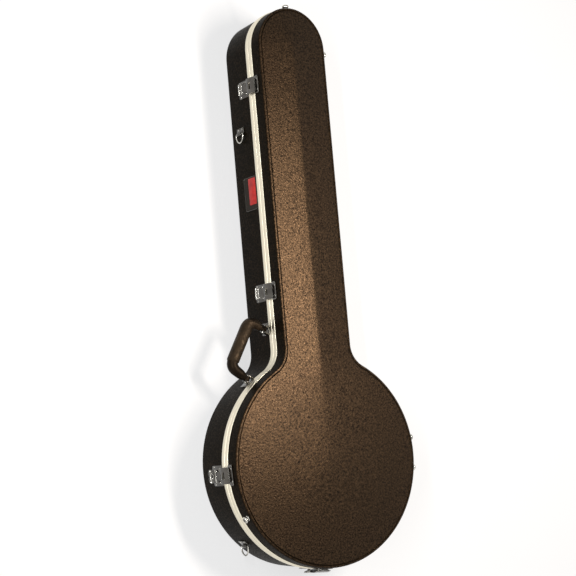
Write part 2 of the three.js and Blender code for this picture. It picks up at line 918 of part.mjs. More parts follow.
function hingeLeaf(middle, side) {
  const reach = (y) => Math.asin(y / bodyRadius);
  const from = reach(middle - hinge.length / 2);
  const to = reach(middle + hinge.length / 2);
  const mirror = (z) => (side > 0 ? 2 * hingeAxis.z - z : z);
  const onWall = fit.running;
  const rise = leafSeat - onWall;
  const edge = hingeAxis.z - hinge.leaf;
  const low = depth.base - (side > 0 ? hinge.lidLeaf : hinge.baseLeaf);
  const step = depth.base - rise - fit.running;
  const profile = [
    [onWall, low],
    [onWall + hinge.leaf, low],
    [onWall + hinge.leaf, step],
    [leafSeat + hinge.leaf, step + rise],
    [leafSeat + hinge.leaf, edge],
    [leafSeat, edge],
    [leafSeat, step + rise],
    [onWall, step],
  ];
  const sections = [];
  for (let i = 0; i <= facets.leaf; i += 1) {
    const a = from + ((to - from) * i) / facets.leaf;
    sections.push(profile.map(([n, z]) => vector(
      (bodyRadius + n) * Math.cos(a), (bodyRadius + n) * Math.sin(a), mirror(z),
    )));
  }
  const strip = loft(sections, { plan: profile.map(([n, z]) => new THREE.Vector2(n, z)) });
  const arc = new THREE.Shape();
  arc.moveTo(leafRadius * Math.cos(to), leafRadius * Math.sin(to));
  arc.absarc(0, 0, leafRadius, to, from, true);
  arc.lineTo(hingeAxis.x, leafRadius * Math.sin(from));
  arc.lineTo(hingeAxis.x, leafRadius * Math.sin(to));
  const webLow = side > 0 ? mirror(edge) : edge - hinge.leaf;
  const web = new THREE.ExtrudeGeometry(arc, {
    depth: hinge.leaf, bevelEnabled: false, curveSegments: facets.leaf,
  }).translate(0, 0, webLow);
  const start = leafRadius * Math.sin(from);
  const pitch = (leafRadius * Math.sin(to) - start) / hinge.knuckles;
  const knuckle = (k, radius, gap) => new THREE.CylinderGeometry(
    radius, radius, pitch - gap, facets.pin,
  ).translate(hingeAxis.x, start + k * pitch + pitch / 2, hingeAxis.z);
  const own = [];
  const other = [];
  for (let k = 0; k < hinge.knuckles; k += 1) {
    const mine = (k % 2 === 0) === (side < 0);
    if (mine) own.push(knuckle(k, hinge.barrelRadius, fit.running));
    else other.push(knuckle(k, hinge.barrelRadius + fit.running, -fit.running));
  }
  const pinBore = new THREE.CylinderGeometry(
    hinge.pinRadius + fit.seat, hinge.pinRadius + fit.seat, 2 * hinge.length, facets.pin,
  ).translate(hingeAxis.x, middle, hingeAxis.z);
  return cut(join(cut(join(strip, web), ...other), ...own), pinBore);
}

function hingePin(middle) {
  const from = (leafRadius * (middle - hinge.length / 2)) / bodyRadius;
  const to = (leafRadius * (middle + hinge.length / 2)) / bodyRadius;
  const shaftEnd = fit.running + hinge.pinHeadLength;
  const shaft = new THREE.CylinderGeometry(
    hinge.pinRadius, hinge.pinRadius, to - from + 2 * shaftEnd, facets.pin,
  ).translate(hingeAxis.x, (from + to) / 2, hingeAxis.z);
  const head = (y) => new THREE.CylinderGeometry(
    hinge.pinHead, hinge.pinHead, hinge.pinHeadLength, facets.pin,
  ).translate(hingeAxis.x, y, hingeAxis.z);
  const headOffset = fit.running + hinge.pinHeadLength / 2;
  return join(shaft, head(from - headOffset), head(to + headOffset));
}

for (const [name, middle] of [['upper', hinge.spacing / 2], ['lower', -hinge.spacing / 2]]) {
  addPiece(`hinge_${name}_base_leaf`, hingeLeaf(middle, -1), 'chrome');
  addPiece(`hinge_${name}_lid_leaf`, hingeLeaf(middle, 1), 'chrome');
  addPiece(`hinge_${name}_pin`, hingePin(middle), 'chrome');
}

// Handle: a bent bar from eye to eye, on two brackets in the waist

const lowerNormal = new THREE.Vector2(1, 0).rotateAround(
  new THREE.Vector2(), THREE.MathUtils.degToRad(handle.lowerAngle),
);
const handleEnds = {
  upper: { wall: new THREE.Vector2(-neckHalf, waistY + handle.upperFromWaist), normal: new THREE.Vector2(-1, 0) },
  lower: { wall: lowerNormal.clone().multiplyScalar(bodyRadius), normal: lowerNormal },
};
for (const end of Object.values(handleEnds)) {
  end.eye = end.wall.clone().addScaledVector(end.normal, handle.axisOut);
}
const upperEye = handleEnds.upper.eye;
const lowerEye = handleEnds.lower.eye;
const chord = lowerEye.clone().sub(upperEye).normalize();
const outwards = new THREE.Vector2(chord.y, -chord.x);
const handleZ = depth.base - handle.drop;
const upperElbow = upperEye.clone()
  .addScaledVector(outwards, handle.upperArm).addScaledVector(chord, -handle.upperLean);
const lowerElbow = lowerEye.clone()
  .addScaledVector(outwards, handle.lowerArm).addScaledVector(chord, -handle.lowerLean);

// Points along a path with its corners rounded
function roundedPath(corners, radius, steps) {
  const path = [corners[0].clone()];
  for (let i = 1; i < corners.length - 1; i += 1) {
    const before = corners[i - 1].clone().sub(corners[i]).normalize();
    const after = corners[i + 1].clone().sub(corners[i]).normalize();
    const half = Math.acos(before.dot(after)) / 2;
    const back = radius / Math.tan(half);
    const from = corners[i].clone().addScaledVector(before, back);
    const to = corners[i].clone().addScaledVector(after, back);
    for (let k = 0; k <= steps; k += 1) {
      const t = k / steps;
      const a = from.clone().lerp(corners[i], t);
      path.push(a.lerp(corners[i].clone().lerp(to, t), t));
    }
  }
  path.push(corners[corners.length - 1].clone());
  return path;
}

function handleGrip() {
  const corners = [upperEye, upperElbow, lowerElbow, lowerEye];
  const path = roundedPath(corners, handle.elbowRadius, facets.elbow);
  const lengths = path.map((p, i) => (i === 0 ? 0 : p.distanceTo(path[i - 1])));
  const along = lengths.map(((sum) => (step) => { sum += step; return sum; })(0));
  const total = along[along.length - 1];
  const sections = path.map((p, i) => {
    const before = path[Math.max(i - 1, 0)];
    const after = path[Math.min(i + 1, path.length - 1)];
    const tangent = after.clone().sub(before).normalize();
    const fromEnd = Math.min(along[i], total - along[i]);
    const swell = THREE.MathUtils.smoothstep(fromEnd, 0, handle.taper);
    const radius = THREE.MathUtils.lerp(handle.eyeRadius, handle.gripRadius, swell);
    const section = [];
    for (let k = 0; k < facets.tube; k += 1) {
      const a = (2 * Math.PI * k) / facets.tube;
      section.push(vector(
        p.x + radius * Math.cos(a) * tangent.y,
        p.y - radius * Math.cos(a) * tangent.x,
        handleZ + radius * Math.sin(a),
      ));
    }
    return section;
  });
  const plan = sections[0].map((_, k) => {
    const a = (2 * Math.PI * k) / facets.tube;
    return new THREE.Vector2(Math.cos(a), Math.sin(a));
  });
  const bar = loft(sections, { plan });
  const eyes = [upperEye, lowerEye].map((eye) => chordBar(handle.eyeRadius, handle.eyeHalf, eye));
  const lugRoom = [upperEye, lowerEye].flatMap((eye) => [-1, 1].map((side) => chordBar(
    handle.eyeRadius + handle.lug + fit.running,
    handle.gripRadius / 2,
    alongChord(eye, side * (handle.eyeHalf + handle.gripRadius / 2)),
  )));
  const bores = [upperEye, lowerEye].map((eye) => chordBar(handle.pinRadius + fit.seat, handle.plateWidth, eye));
  return cut(join(cut(bar, ...lugRoom), ...eyes), ...bores);
}

function alongChord(eye, distance) {
  return eye.clone().addScaledVector(chord, distance);
}

// Round bar along the handle's swing axis, centred on an eye
function chordBar(radius, halfLength, eye) {
  return new THREE.CylinderGeometry(radius, radius, 2 * halfLength, facets.pin)
    .rotateZ(Math.atan2(chord.y, chord.x) - Math.PI / 2)
    .translate(eye.x, eye.y, handleZ);
}

// Lug beside an eye: a plate from the axis into the wall, with a round end
function bracketLug(eye, side) {
  const middle = alongChord(eye, side * (handle.eyeHalf + fit.running + handle.lug / 2));
  const reach = 2 * handle.axisOut;
  const plate = block(
    vector(-handle.lug / 2, 0, handleZ - handle.eyeRadius),
    vector(handle.lug / 2, reach, handleZ + handle.eyeRadius),
  ).rotateZ(Math.atan2(chord.y, chord.x)).translate(middle.x, middle.y, 0);
  return join(plate, chordBar(handle.eyeRadius, handle.lug / 2, middle));
}

function handleBracket({ wall, normal, eye }) {
  const turn = Math.atan2(normal.y, normal.x);
  const place = (geometry) => geometry.rotateZ(turn).translate(wall.x, wall.y, 0);
  const under = depth.base - fit.running;
  const half = handle.plateWidth / 2;
  const wide = 2 * handle.plateWidth;
  const face = fit.running + handle.plateThickness;
  const plate = place(block(
    vector(fit.running, -half, under - handle.plateHeight), vector(face, half, under),
  ));
  const wallRoom = place(block(
    vector(-wide, -wide, 0), vector(fit.running + handle.plateThickness / 2, wide, faceHeight),
  ));
  const flangeRoom = place(block(
    vector(-wide, -wide, under - fit.running), vector(leafSeat, wide, faceHeight),
  ));
  const lugs = [-1, 1].map((side) => cut(bracketLug(eye, side), wallRoom, flangeRoom));
  return cut(join(plate, ...lugs), chordBar(handle.pinRadius + fit.seat, handle.plateWidth, eye));
}

function handlePin(eye) {
  const end = handle.eyeHalf + fit.running + handle.lug + fit.seat;
  const shaft = chordBar(handle.pinRadius, end + handle.pinHeadLength, eye);
  const heads = [-1, 1].map((side) => chordBar(
    handle.pinHead,
    handle.pinHeadLength / 2,
    alongChord(eye, side * (end + handle.pinHeadLength / 2)),
  ));
  return join(shaft, ...heads);
}

addPiece('handle_grip', handleGrip(), 'grip');
for (const [name, end] of Object.entries(handleEnds)) {
  addPiece(`handle_bracket_${name}`, handleBracket(end), 'chrome');
  addPiece(`handle_pin_${name}`, handlePin(end.eye), 'chrome');
}

// Strap fittings: a clip riveted to the base wall, and a D-ring through its loop

const ringZ = depth.base - ring.below;

function ringClip() {
  const face = fit.running + ring.clipSheet;
  const low = ringZ - ring.clipLength / 2;
  const high = ringZ + ring.clipLength / 2;
  const plate = block(vector(fit.running, -ring.clipWidth, low), vector(face, 0, high));
  const loop = new THREE.CylinderGeometry(ring.loopRadius, ring.loopRadius, ring.loopLength, facets.pin)
    .rotateX(Math.PI / 2).translate(ring.loopOut, 0, ringZ);
  const bore = new THREE.CylinderGeometry(
    ring.wireRadius + fit.running, ring.wireRadius + fit.running, ring.clipLength, facets.pin,
  ).rotateX(Math.PI / 2).translate(ring.loopOut, 0, ringZ);
  const keepOffWall = block(
    vector(-ring.clipLength, -ring.clipWidth, 0), vector(fit.running, ring.clipWidth, depth.base),
  );
  const rivetZ = ring.clipLength / 4;
  const rivets = [-1, 1].map((side) => rivetHead(
    ring.rivetRadius, ring.rivetHeight, face, -ring.rivetPlace, ringZ + side * rivetZ,
  ));
  return cut(join(plate, loop, ...rivets), bore, keepOffWall);
}

// D-ring on its clip, at an angle from the wall: 0 lies along the frame's Y
function dRing(angle) {
  const half = ring.width / 2;
  const corner = ring.corner;
  const shoulder = ring.drop * ringShares.shoulder;
  const flank = half * ringShares.flank;
  const plan = new THREE.Path();
  plan.moveTo(0, 0);
  plan.lineTo(0, half - corner);
  plan.quadraticCurveTo(0, half, corner, half);
  plan.bezierCurveTo(shoulder, half, ring.drop, flank, ring.drop, 0);
  plan.bezierCurveTo(ring.drop, -flank, shoulder, -half, corner, -half);
  plan.quadraticCurveTo(0, -half, 0, corner - half);
  const points = plan.getPoints(facets.ring);
  if (points[0].distanceTo(points[points.length - 1]) > ring.wireRadius) points.push(points[0].clone());
  points.pop();
  const direction = new THREE.Vector2(Math.sin(angle), Math.cos(angle));
  const sections = points.map((p, i) => {
    const before = points[(i + points.length - 1) % points.length];
    const after = points[(i + 1) % points.length];
    const tangent = after.clone().sub(before).normalize();
    const section = [];
    for (let k = 0; k < facets.wire; k += 1) {
      const a = (2 * Math.PI * k) / facets.wire;
      const out = ring.wireRadius * Math.cos(a);
      const aside = ring.wireRadius * Math.sin(a);
      const drop = p.x + out * tangent.y;
      section.push(vector(
        ring.loopOut + drop * direction.x - aside * direction.y,
        drop * direction.y + aside * direction.x,
        ringZ + p.y - out * tangent.x,
      ));
    }
    return section;
  });
  return loft(sections, { closed: true });
}

const strapFittings = [
  { name: 'neck', frame: neckFrame(headCentre - ring.fromHead, -1), swing: 0 },
  { name: 'body', frame: bodyFrame(ring.bodyAngle), swing: THREE.MathUtils.degToRad(180 + ring.bodyAngle) },
];
for (const { name, frame, swing } of strapFittings) {
  const clip = addPiece(`strap_clip_${name}`, ringClip(), 'chrome', frame);
  const loop = addPiece(`strap_ring_${name}`, dRing(swing), 'chrome', frame);
  clip.position.x = wallOffset(ringZ + ring.clipLength / 2);
  loop.position.x = clip.position.x;
}

// Domed studs that keep the walls off the ground

function domedStud() {
  const r = stud.radius;
  const waist = stud.neckRadius;
  const h = stud.height;
  const profile = [
    new THREE.Vector2(0, fit.running),
    new THREE.Vector2(waist, fit.running),
    new THREE.Vector2(waist, h * studShares.neck),
    new THREE.Vector2(r, h * studShares.rim),
    new THREE.Vector2(r, h * studShares.shoulder),
    new THREE.Vector2(r * studShares.crownRadius, h * studShares.crown),
    new THREE.Vector2(0, h),
  ];
  return new THREE.LatheGeometry(profile, facets.stud).rotateZ(-Math.PI / 2);
}

const lidStudHeight = faceHeight - stud.lidDrop;
const baseStudHeight = depth.base / 2;
const headFrame = () => wallFrame(0, outline.headTip, Math.PI / 2);
const studPlaces = [
  ['lid_stud_head', headFrame, lidStudHeight],
  ['lid_stud_neck', () => neckFrame(headCentre - stud.fromHead, 1), lidStudHeight],
  ['lid_stud_body_upper', () => bodyFrame(stud.bodyAngle), lidStudHeight],
  ['lid_stud_body_lower', () => bodyFrame(-stud.bodyAngle), lidStudHeight],
  ['lid_stud_low', () => bodyFrame(stud.lowAngle), lidStudHeight],
  ['base_stud_neck', () => neckFrame(headCentre - stud.fromHead, 1), baseStudHeight],
  ['base_stud_body_upper', () => bodyFrame(stud.bodyAngle), baseStudHeight],
  ['base_stud_body_lower', () => bodyFrame(-stud.bodyAngle), baseStudHeight],
];
for (const [name, frame, height] of studPlaces) {
  const mesh = addPiece(name, domedStud(), 'chrome', frame());
  const nearest = height < depth.base ? height + stud.neckRadius : height - stud.neckRadius;
  mesh.position.set(wallOffset(nearest), 0, height);
}

// Blank name plate on the base wall

const badgeZ = depth.base - badge.below;

function namePlate() {
  const half = badge.length / 2;
  const side = badge.width / 2;
  const c = badge.corner;
  const shape = new THREE.Shape();
  shape.moveTo(half - c, -side);
  shape.quadraticCurveTo(half, -side, half, c - side);
  shape.lineTo(half, side - c);
  shape.quadraticCurveTo(half, side, half - c, side);
  shape.lineTo(c - half, side);
  shape.quadraticCurveTo(-half, side, -half, side - c);
  shape.lineTo(-half, c - side);
  shape.quadraticCurveTo(-half, -side, c - half, -side);
  const plate = new THREE.ExtrudeGeometry(shape, {
    depth: badge.thickness, bevelEnabled: false, curveSegments: facets.corner,
  });
  const seat = fit.running + wallOffset(badgeZ + side);
  return plate.rotateX(Math.PI / 2).rotateZ(Math.PI / 2).translate(seat, 0, badgeZ);
}

addPiece('name_plate', namePlate(), 'enamel', neckFrame(headCentre - badge.fromHead, -1));

export default banjoCase;
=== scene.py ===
"""Looks of a moulded banjo case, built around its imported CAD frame. Sizes here are in millimetres."""

import json
import math

import bmesh
import bpy
from mathutils import Matrix, Vector

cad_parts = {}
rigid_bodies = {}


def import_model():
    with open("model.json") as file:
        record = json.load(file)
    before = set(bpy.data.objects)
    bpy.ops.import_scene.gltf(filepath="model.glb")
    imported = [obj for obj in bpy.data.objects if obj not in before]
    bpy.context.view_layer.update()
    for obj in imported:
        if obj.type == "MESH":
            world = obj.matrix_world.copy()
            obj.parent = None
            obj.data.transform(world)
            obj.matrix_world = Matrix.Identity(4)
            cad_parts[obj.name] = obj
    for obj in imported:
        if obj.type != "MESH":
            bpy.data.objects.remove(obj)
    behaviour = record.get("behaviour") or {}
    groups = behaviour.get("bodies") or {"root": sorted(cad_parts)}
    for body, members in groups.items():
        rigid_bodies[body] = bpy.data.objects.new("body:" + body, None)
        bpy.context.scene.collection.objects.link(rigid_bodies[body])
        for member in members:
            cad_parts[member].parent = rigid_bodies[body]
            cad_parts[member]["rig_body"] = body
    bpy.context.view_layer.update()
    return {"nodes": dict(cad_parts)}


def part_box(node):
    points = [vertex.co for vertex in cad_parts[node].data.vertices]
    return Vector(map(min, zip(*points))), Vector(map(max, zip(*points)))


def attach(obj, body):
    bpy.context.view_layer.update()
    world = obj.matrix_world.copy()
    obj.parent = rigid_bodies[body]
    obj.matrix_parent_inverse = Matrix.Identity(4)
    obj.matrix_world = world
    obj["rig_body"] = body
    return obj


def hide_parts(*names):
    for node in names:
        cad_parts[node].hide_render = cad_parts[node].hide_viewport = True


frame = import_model()

MM = 0.001

# Sizes of the case, as the CAD has them

BODY_RADIUS = 210.0
NECK_HALF = 78.0
WAIST_RADIUS = 50.0
HEAD_CENTRE = 834.0
HEAD_CROWN = 82.0
WAIST_X = NECK_HALF + WAIST_RADIUS
WAIST_Y = math.sqrt((BODY_RADIUS + WAIST_RADIUS) ** 2 - WAIST_X ** 2)
WAIST_ANGLE = math.atan2(WAIST_Y, WAIST_X)
BASE_WALL = 88.0
BASE_TOP = 99.4
LID_BOTTOM = 99.7
LID_WALL = 111.1
FACE = 140.9
RIDGE = 4.0
WALL = 3.5
SEAT = 0.3
FLANGE = 1.5
BULGE = 0.5
VALANCE_INNER = 5.1
LINING_SIDE = 5.5
WELL_RADIUS = 181.0
CHANNEL_HALF = 45.0
WELL_FLOOR = 13.0
LINING_TOP = 97.0
HEAD_WELL_HALF = 62.0
HEAD_WELL_CROWN = 66.0
HEAD_WELL_TAPER = (640.0, 690.0)
BASE_DRAFT = 1.8
BACK_RADIUS = 8.0

# The lid's edge, sharper here than in the CAD, and the line round its face, wider and deeper here

LID_ROUND = 2.2
LINE_START = 4.3
LINE_WIDTH = 3.0
LINE_DEPTH = 1.7


# Colour, nodes and materials

def linear(colour):
    """Linear RGBA of an sRGB hex colour."""
    parts = [int(colour[i:i + 2], 16) / 255 for i in (0, 2, 4)]
    return (*[p / 12.92 if p <= 0.04045 else ((p + 0.055) / 1.055) ** 2.4 for p in parts], 1)


def add_node(tree, kind, inputs=None, **settings):
    """Adds a node, with its settings, its input values and its links from other nodes' sockets."""
    node = tree.nodes.new(kind)
    for name, value in settings.items():
        setattr(node, name, value)
    for name, value in (inputs or {}).items():
        if isinstance(value, bpy.types.NodeSocket):
            tree.links.new(value, node.inputs[name])
        else:
            node.inputs[name].default_value = value
    return node


def new_finish(name, surface):
    """Material with a Principled shader whose constant sockets are given, and its node tree."""
    finish = bpy.data.materials.new(name)
    finish.use_nodes = True
    tree = finish.node_tree
    tree.nodes.clear()
    shader = add_node(tree, "ShaderNodeBsdfPrincipled", surface)
    add_node(tree, "ShaderNodeOutputMaterial", {"Surface": shader.outputs[0]})
    place = add_node(tree, "ShaderNodeTexCoord").outputs["Object"]
    return finish, tree, shader, place


def blend_colours(tree, share, low, high):
    """Colour between two others, by a share from 0 to 1."""
    return add_node(
        tree, "ShaderNodeMix", {0: share, 6: low, 7: high}, data_type="RGBA",
    ).outputs[2]


def spread(tree, value, low, high, to_low, to_high):
    """A value moved from one range to another, and kept inside it."""
    return add_node(tree, "ShaderNodeMapRange", {
        "Value": value, "From Min": low, "From Max": high, "To Min": to_low, "To Max": to_high,
    }).outputs[0]


def noise(tree, place, size, detail=3.0, roughness=0.55):
    """Noise whose blotches are about as wide as size, in millimetres."""
    return add_node(tree, "ShaderNodeTexNoise", {
        "Vector": place, "Scale": 1 / (size * MM), "Detail": detail, "Roughness": roughness,
    }).outputs[0]


def maths(tree, operation, first, second):
    """Two values joined by one operation."""
    return add_node(tree, "ShaderNodeMath", {0: first, 1: second}, operation=operation).outputs[0]


def colour_surface(tree, shader, share, low, high):
    """Base colour between two sRGB tones, by a share from 0 to 1."""
    tree.links.new(blend_colours(tree, share, linear(low), linear(high)), shader.inputs["Base Color"])


def raise_surface(tree, shader, height, depth, strength=1.0):
    """Bump on a shader: depth is in millimetres."""
    bump = add_node(tree, "ShaderNodeBump", {"Height": height, "Distance": depth * MM, "Strength": strength})
    tree.links.new(bump.outputs[0], shader.inputs["Normal"])


def grained_abs(name, surface, dim, tones, dull, bright):
    """ABS sheet, vacuum-formed over a grained tool: satin brown-black, with a leather grain of pebbles
    3.2 mm wide under creases of 6 mm. Roughness runs from the dull valleys to the bright tops. The dim
    tint of the folds is painted shade, for the light that they lose, and so is the darker base tone in the
    valleys."""
    finish, tree, shader, place = new_finish(name, surface)
    bend = add_node(tree, "ShaderNodeTexNoise", {"Vector": place, "Scale": 1 / (7 * MM), "Detail": 2.0})
    shift = add_node(tree, "ShaderNodeVectorMath", {
        0: bend.outputs["Color"], 1: (0.5, 0.5, 0.5),
    }, operation="SUBTRACT").outputs[0]
    pull = add_node(tree, "ShaderNodeVectorMath", {0: shift, "Scale": 3.5 * MM}, operation="SCALE").outputs[0]
    bent = add_node(tree, "ShaderNodeVectorMath", {0: place, 1: pull}, operation="ADD").outputs[0]
    pebbles = add_node(tree, "ShaderNodeTexVoronoi", {
        "Vector": bent, "Scale": 1 / (3.2 * MM), "Smoothness": 0.5,
    }, feature="SMOOTH_F1").outputs["Distance"]
    tops = spread(tree, pebbles, 0.12, 0.62, 1.0, 0.0)
    creases = noise(tree, bent, 6.0, 4.0, 0.6)
    height = maths(tree, "ADD", maths(tree, "MULTIPLY", tops, 0.7), maths(tree, "MULTIPLY", creases, 0.5))
    folds = spread(tree, noise(tree, bent, 3.3, 2.5, 0.5), 0.3, 0.7, 0.0, 1.0)
    relief = maths(tree, "ADD", maths(tree, "MULTIPLY", height, 0.7), maths(tree, "MULTIPLY", folds, 0.4))
    raise_surface(tree, shader, relief, 0.3, 0.5)
    # painted shade: the specular tint is dimmed in the folds
    shade = blend_colours(tree, folds, dim, surface["Specular Tint"])
    tree.links.new(shade, shader.inputs["Specular Tint"])
    blotches = spread(tree, noise(tree, place, 24.0, 4.0, 0.6), 0.32, 0.7, 0.0, 1.0)
    # the first tone is painted shade in the grain's valleys, blended in by height; the other two are the
    # sheet's own random tone
    valley_shade, low, high = [linear(tone) for tone in tones]
    body = blend_colours(tree, blotches, low, high)
    grain = blend_colours(tree, spread(tree, height, 0.35, 0.9, 0.0, 1.0), valley_shade, body)
    tree.links.new(grain, shader.inputs["Base Color"])
    tree.links.new(spread(tree, height, 0.3, 0.95, dull, bright), shader.inputs["Roughness"])
    return finish


def drawn_aluminium():
    """Aluminium, extruded and satin anodised: pale warm metal with fine die lines along its length."""
    finish, tree, shader, place = new_finish("extruded_aluminium_anodised", {"Metallic": 1.0})
    along = add_node(tree, "ShaderNodeMapping", {"Vector": place, "Scale": (0.02, 0.02, 1.0)}).outputs[0]
    lines = noise(tree, along, 0.9, 3.0, 0.6)
    clouds = noise(tree, place, 45.0, 3.0)
    colour_surface(tree, shader, lines, "d6cdb6", "f1ead6")
    mixed = maths(tree, "ADD", lines, clouds)
    tree.links.new(spread(tree, mixed, 0.6, 1.4, 0.24, 0.42), shader.inputs["Roughness"])
    raise_surface(tree, shader, lines, 0.02, 0.5)
    return finish


def plated_chrome(name, low, high):
    """Steel, nickel-chrome plated: mirror-like, a little wavy, with blotches between two tints that are
    painted reflection of dark surroundings; the roughness follows the same blotches.
    """
    finish, tree, shader, place = new_finish(name, {"Metallic": 1.0})
    reflection_blotches = noise(tree, place, 14.0, 4.0, 0.6)
    colour_surface(tree, shader, spread(tree, reflection_blotches, 0.35, 0.65, 0.0, 1.0), low, high)
    tree.links.new(spread(tree, reflection_blotches, 0.3, 0.75, 0.08, 0.2), shader.inputs["Roughness"])
    raise_surface(tree, shader, noise(tree, place, 5.0, 2.0), 0.06, 0.6)
    return finish


def moulded_grip():
    """PVC, moulded over a steel core: dark brown, half glossy, with a fine hide grain."""
    finish, tree, shader, place = new_finish("pvc_grip_moulded", {
        "IOR": 1.3, "Specular IOR Level": 0.6, "Specular Tint": linear("ffdcb4"),
    })
    cells = add_node(tree, "ShaderNodeTexVoronoi", {
        "Vector": place, "Scale": 1 / (2.8 * MM), "Smoothness": 0.6,
    }, feature="SMOOTH_F1").outputs["Distance"]
    patches = spread(tree, noise(tree, place, 12.0, 4.0, 0.6), 0.35, 0.68, 0.0, 1.0)
    colour_surface(tree, shader, patches, "0c0805", "2a2017")
    tree.links.new(spread(tree, patches, 0.0, 1.0, 0.58, 0.4), shader.inputs["Roughness"])
    raise_surface(tree, shader, cells, 0.6, 1.0)
    return finish


def smooth_arm():
    """PVC, moulded smooth: the arms of the handle, a darker, less reflective copy of the grip's PVC; the
    smooth finish is their own, the near-black tone is painted shade.
    """
    finish, tree, shader, place = new_finish("pvc_arm_moulded_shaded", {
        "IOR": 1.22, "Specular Tint": linear("ffdcb4"),
    })
    patches = spread(tree, noise(tree, place, 9.0, 4.0, 0.6), 0.35, 0.68, 0.0, 1.0)
    colour_surface(tree, shader, patches, "080605", "16100b")
    tree.links.new(spread(tree, patches, 0.0, 1.0, 0.5, 0.36), shader.inputs["Roughness"])
    raise_surface(tree, shader, noise(tree, place, 2.4, 3.0), 0.12, 0.5)
    return finish


def wine_plush():
    """Nylon pile plush, glued over foam: deep wine red with a soft sheen and strokes where it was brushed."""
    finish, tree, shader, place = new_finish("nylon_plush_wine", {
        "Roughness": 0.95, "Specular IOR Level": 0.15,
        "Sheen Weight": 0.6, "Sheen Roughness": 0.45, "Sheen Tint": linear("c9636b"),
    })
    pile = noise(tree, place, 1.4, 4.0, 0.7)
    strokes = spread(tree, noise(tree, place, 38.0, 3.0, 0.6), 0.38, 0.62, 0.0, 1.0)
    brushed = blend_colours(tree, strokes, linear("3d0d14"), linear("611a22"))
    tips = blend_colours(tree, spread(tree, pile, 0.4, 0.62, 0.0, 1.0), linear("2c080d"), brushed)
    tree.links.new(tips, shader.inputs["Base Color"])
    raise_surface(tree, shader, maths(tree, "ADD", pile, maths(tree, "MULTIPLY", strokes, 0.4)), 0.5, 0.8)
    return finish


def red_enamel():
    """Enamel, stoved on a brass plate: deep red with a thin clear coat and faint orange peel."""
    finish, tree, shader, place = new_finish("enamel_red_stoved", {
        "IOR": 1.25, "Coat Weight": 0.1, "Coat Roughness": 0.06,
    })
    patches = spread(tree, noise(tree, place, 14.0, 3.0), 0.35, 0.65, 0.0, 1.0)
    colour_surface(tree, shader, patches, "cc1a17", "f23a33")
    tree.links.new(spread(tree, patches, 0.0, 1.0, 0.28, 0.4), shader.inputs["Roughness"])
    raise_surface(tree, shader, noise(tree, place, 2.2, 2.0), 0.04, 0.4)
    return finish


def black_lacquer():
    """Lacquer, sprayed black on a pressed plate: satin, with a few dull scuffs."""
    finish, tree, shader, place = new_finish("lacquer_black_sprayed", {
        "IOR": 1.22, "Specular Tint": linear("ffdcb4"),
    })
    scuffs = spread(tree, noise(tree, place, 6.0, 5.0, 0.7), 0.4, 0.7, 0.0, 1.0)
    colour_surface(tree, shader, scuffs, "17130e", "2a231b")
    tree.links.new(spread(tree, scuffs, 0.0, 1.0, 0.3, 0.5), shader.inputs["Roughness"])
    raise_surface(tree, shader, scuffs, 0.05, 0.3)
    return finish


def woven_ribbon():
    """Polyester grosgrain ribbon, woven: near-black, matt, with cross ribs 1 mm apart."""
    finish, tree, shader, place = new_finish("polyester_grosgrain", {
        "Roughness": 0.8, "Sheen Weight": 0.3, "Sheen Roughness": 0.5,
    })
    ribs = add_node(tree, "ShaderNodeTexWave", {
        "Vector": place, "Scale": 1 / (6.28 * MM), "Distortion": 0.4, "Detail": 2.0,
    }, bands_direction="X").outputs["Fac"]
    colour_surface(tree, shader, ribs, "0d0a08", "2b231d")
    raise_surface(tree, shader, ribs, 0.25, 0.8)
    return finish


ABS_FACE = grained_abs("abs_sheet_leather_grain", {
    "IOR": 1.33, "Specular IOR Level": 0.8, "Specular Tint": linear("ffcb98"),
}, linear("4a3828"), ("060402", "0f0b07", "1a130d"), 0.34, 0.24)
# A dimmer copy of the face's ABS, with far less reflection, so that the walls it goes on render darker:
# painted shade, and partly the duller surface of the stretched sheet.
ABS_WALL_DIMMED = grained_abs("abs_sheet_drawn_and_dimmed", {
    "IOR": 1.11, "Specular Tint": linear("ffc486"),
}, linear("7a5a3a"), ("0c0904", "1c1409", "2f2213"), 0.5, 0.34)
ALUMINIUM = drawn_aluminium()
# Painted reflection and highlight: flat chrome gets a dark tint for the dark surroundings it would reflect,
# and its small rounded faces get a bright copy as painted glints.
CHROME = plated_chrome("steel_chrome_plated_dark_reflection", "4e4b47", "5f5c57")
CHROME_GLINT = plated_chrome("steel_chrome_painted_glint", "8c8981", "e2dfd6")
GRIP = moulded_grip()
ARM_SHADED = smooth_arm()
PLUSH = wine_plush()
ENAMEL = red_enamel()
LACQUER = black_lacquer()
RIBBON = woven_ribbon()


# Mesh helpers

GLINT_AREA = 4.0  # square millimetres: larger faces of the chrome keep its dark tint, painted as a dark reflection
FLAT = 0.98  # part of a normal along an axis above which a face counts as flat


def takes_painted_glint(face):
    """Whether a chrome face gets the bright copy as a painted glint: the small rounded ones of edges, heads
    and wire.
    """
    return max(abs(part) for part in face.normal) < FLAT and face.calc_area() < GLINT_AREA


def sharp_edges(bm, degrees):
    """Edges between two faces that turn by more than an angle."""
    limit = math.radians(degrees)
    return [e for e in bm.edges if len(e.link_faces) == 2 and e.calc_face_angle() > limit]


def soften(bm, width, segments=2, degrees=30):
    """Rounds the edges of a mesh by a small bevel."""
    bmesh.ops.bevel(
        bm, geom=sharp_edges(bm, degrees), offset=width, offset_type="OFFSET", segments=segments,
        profile=0.5, affect="EDGES", material=-1, clamp_overlap=True,
    )


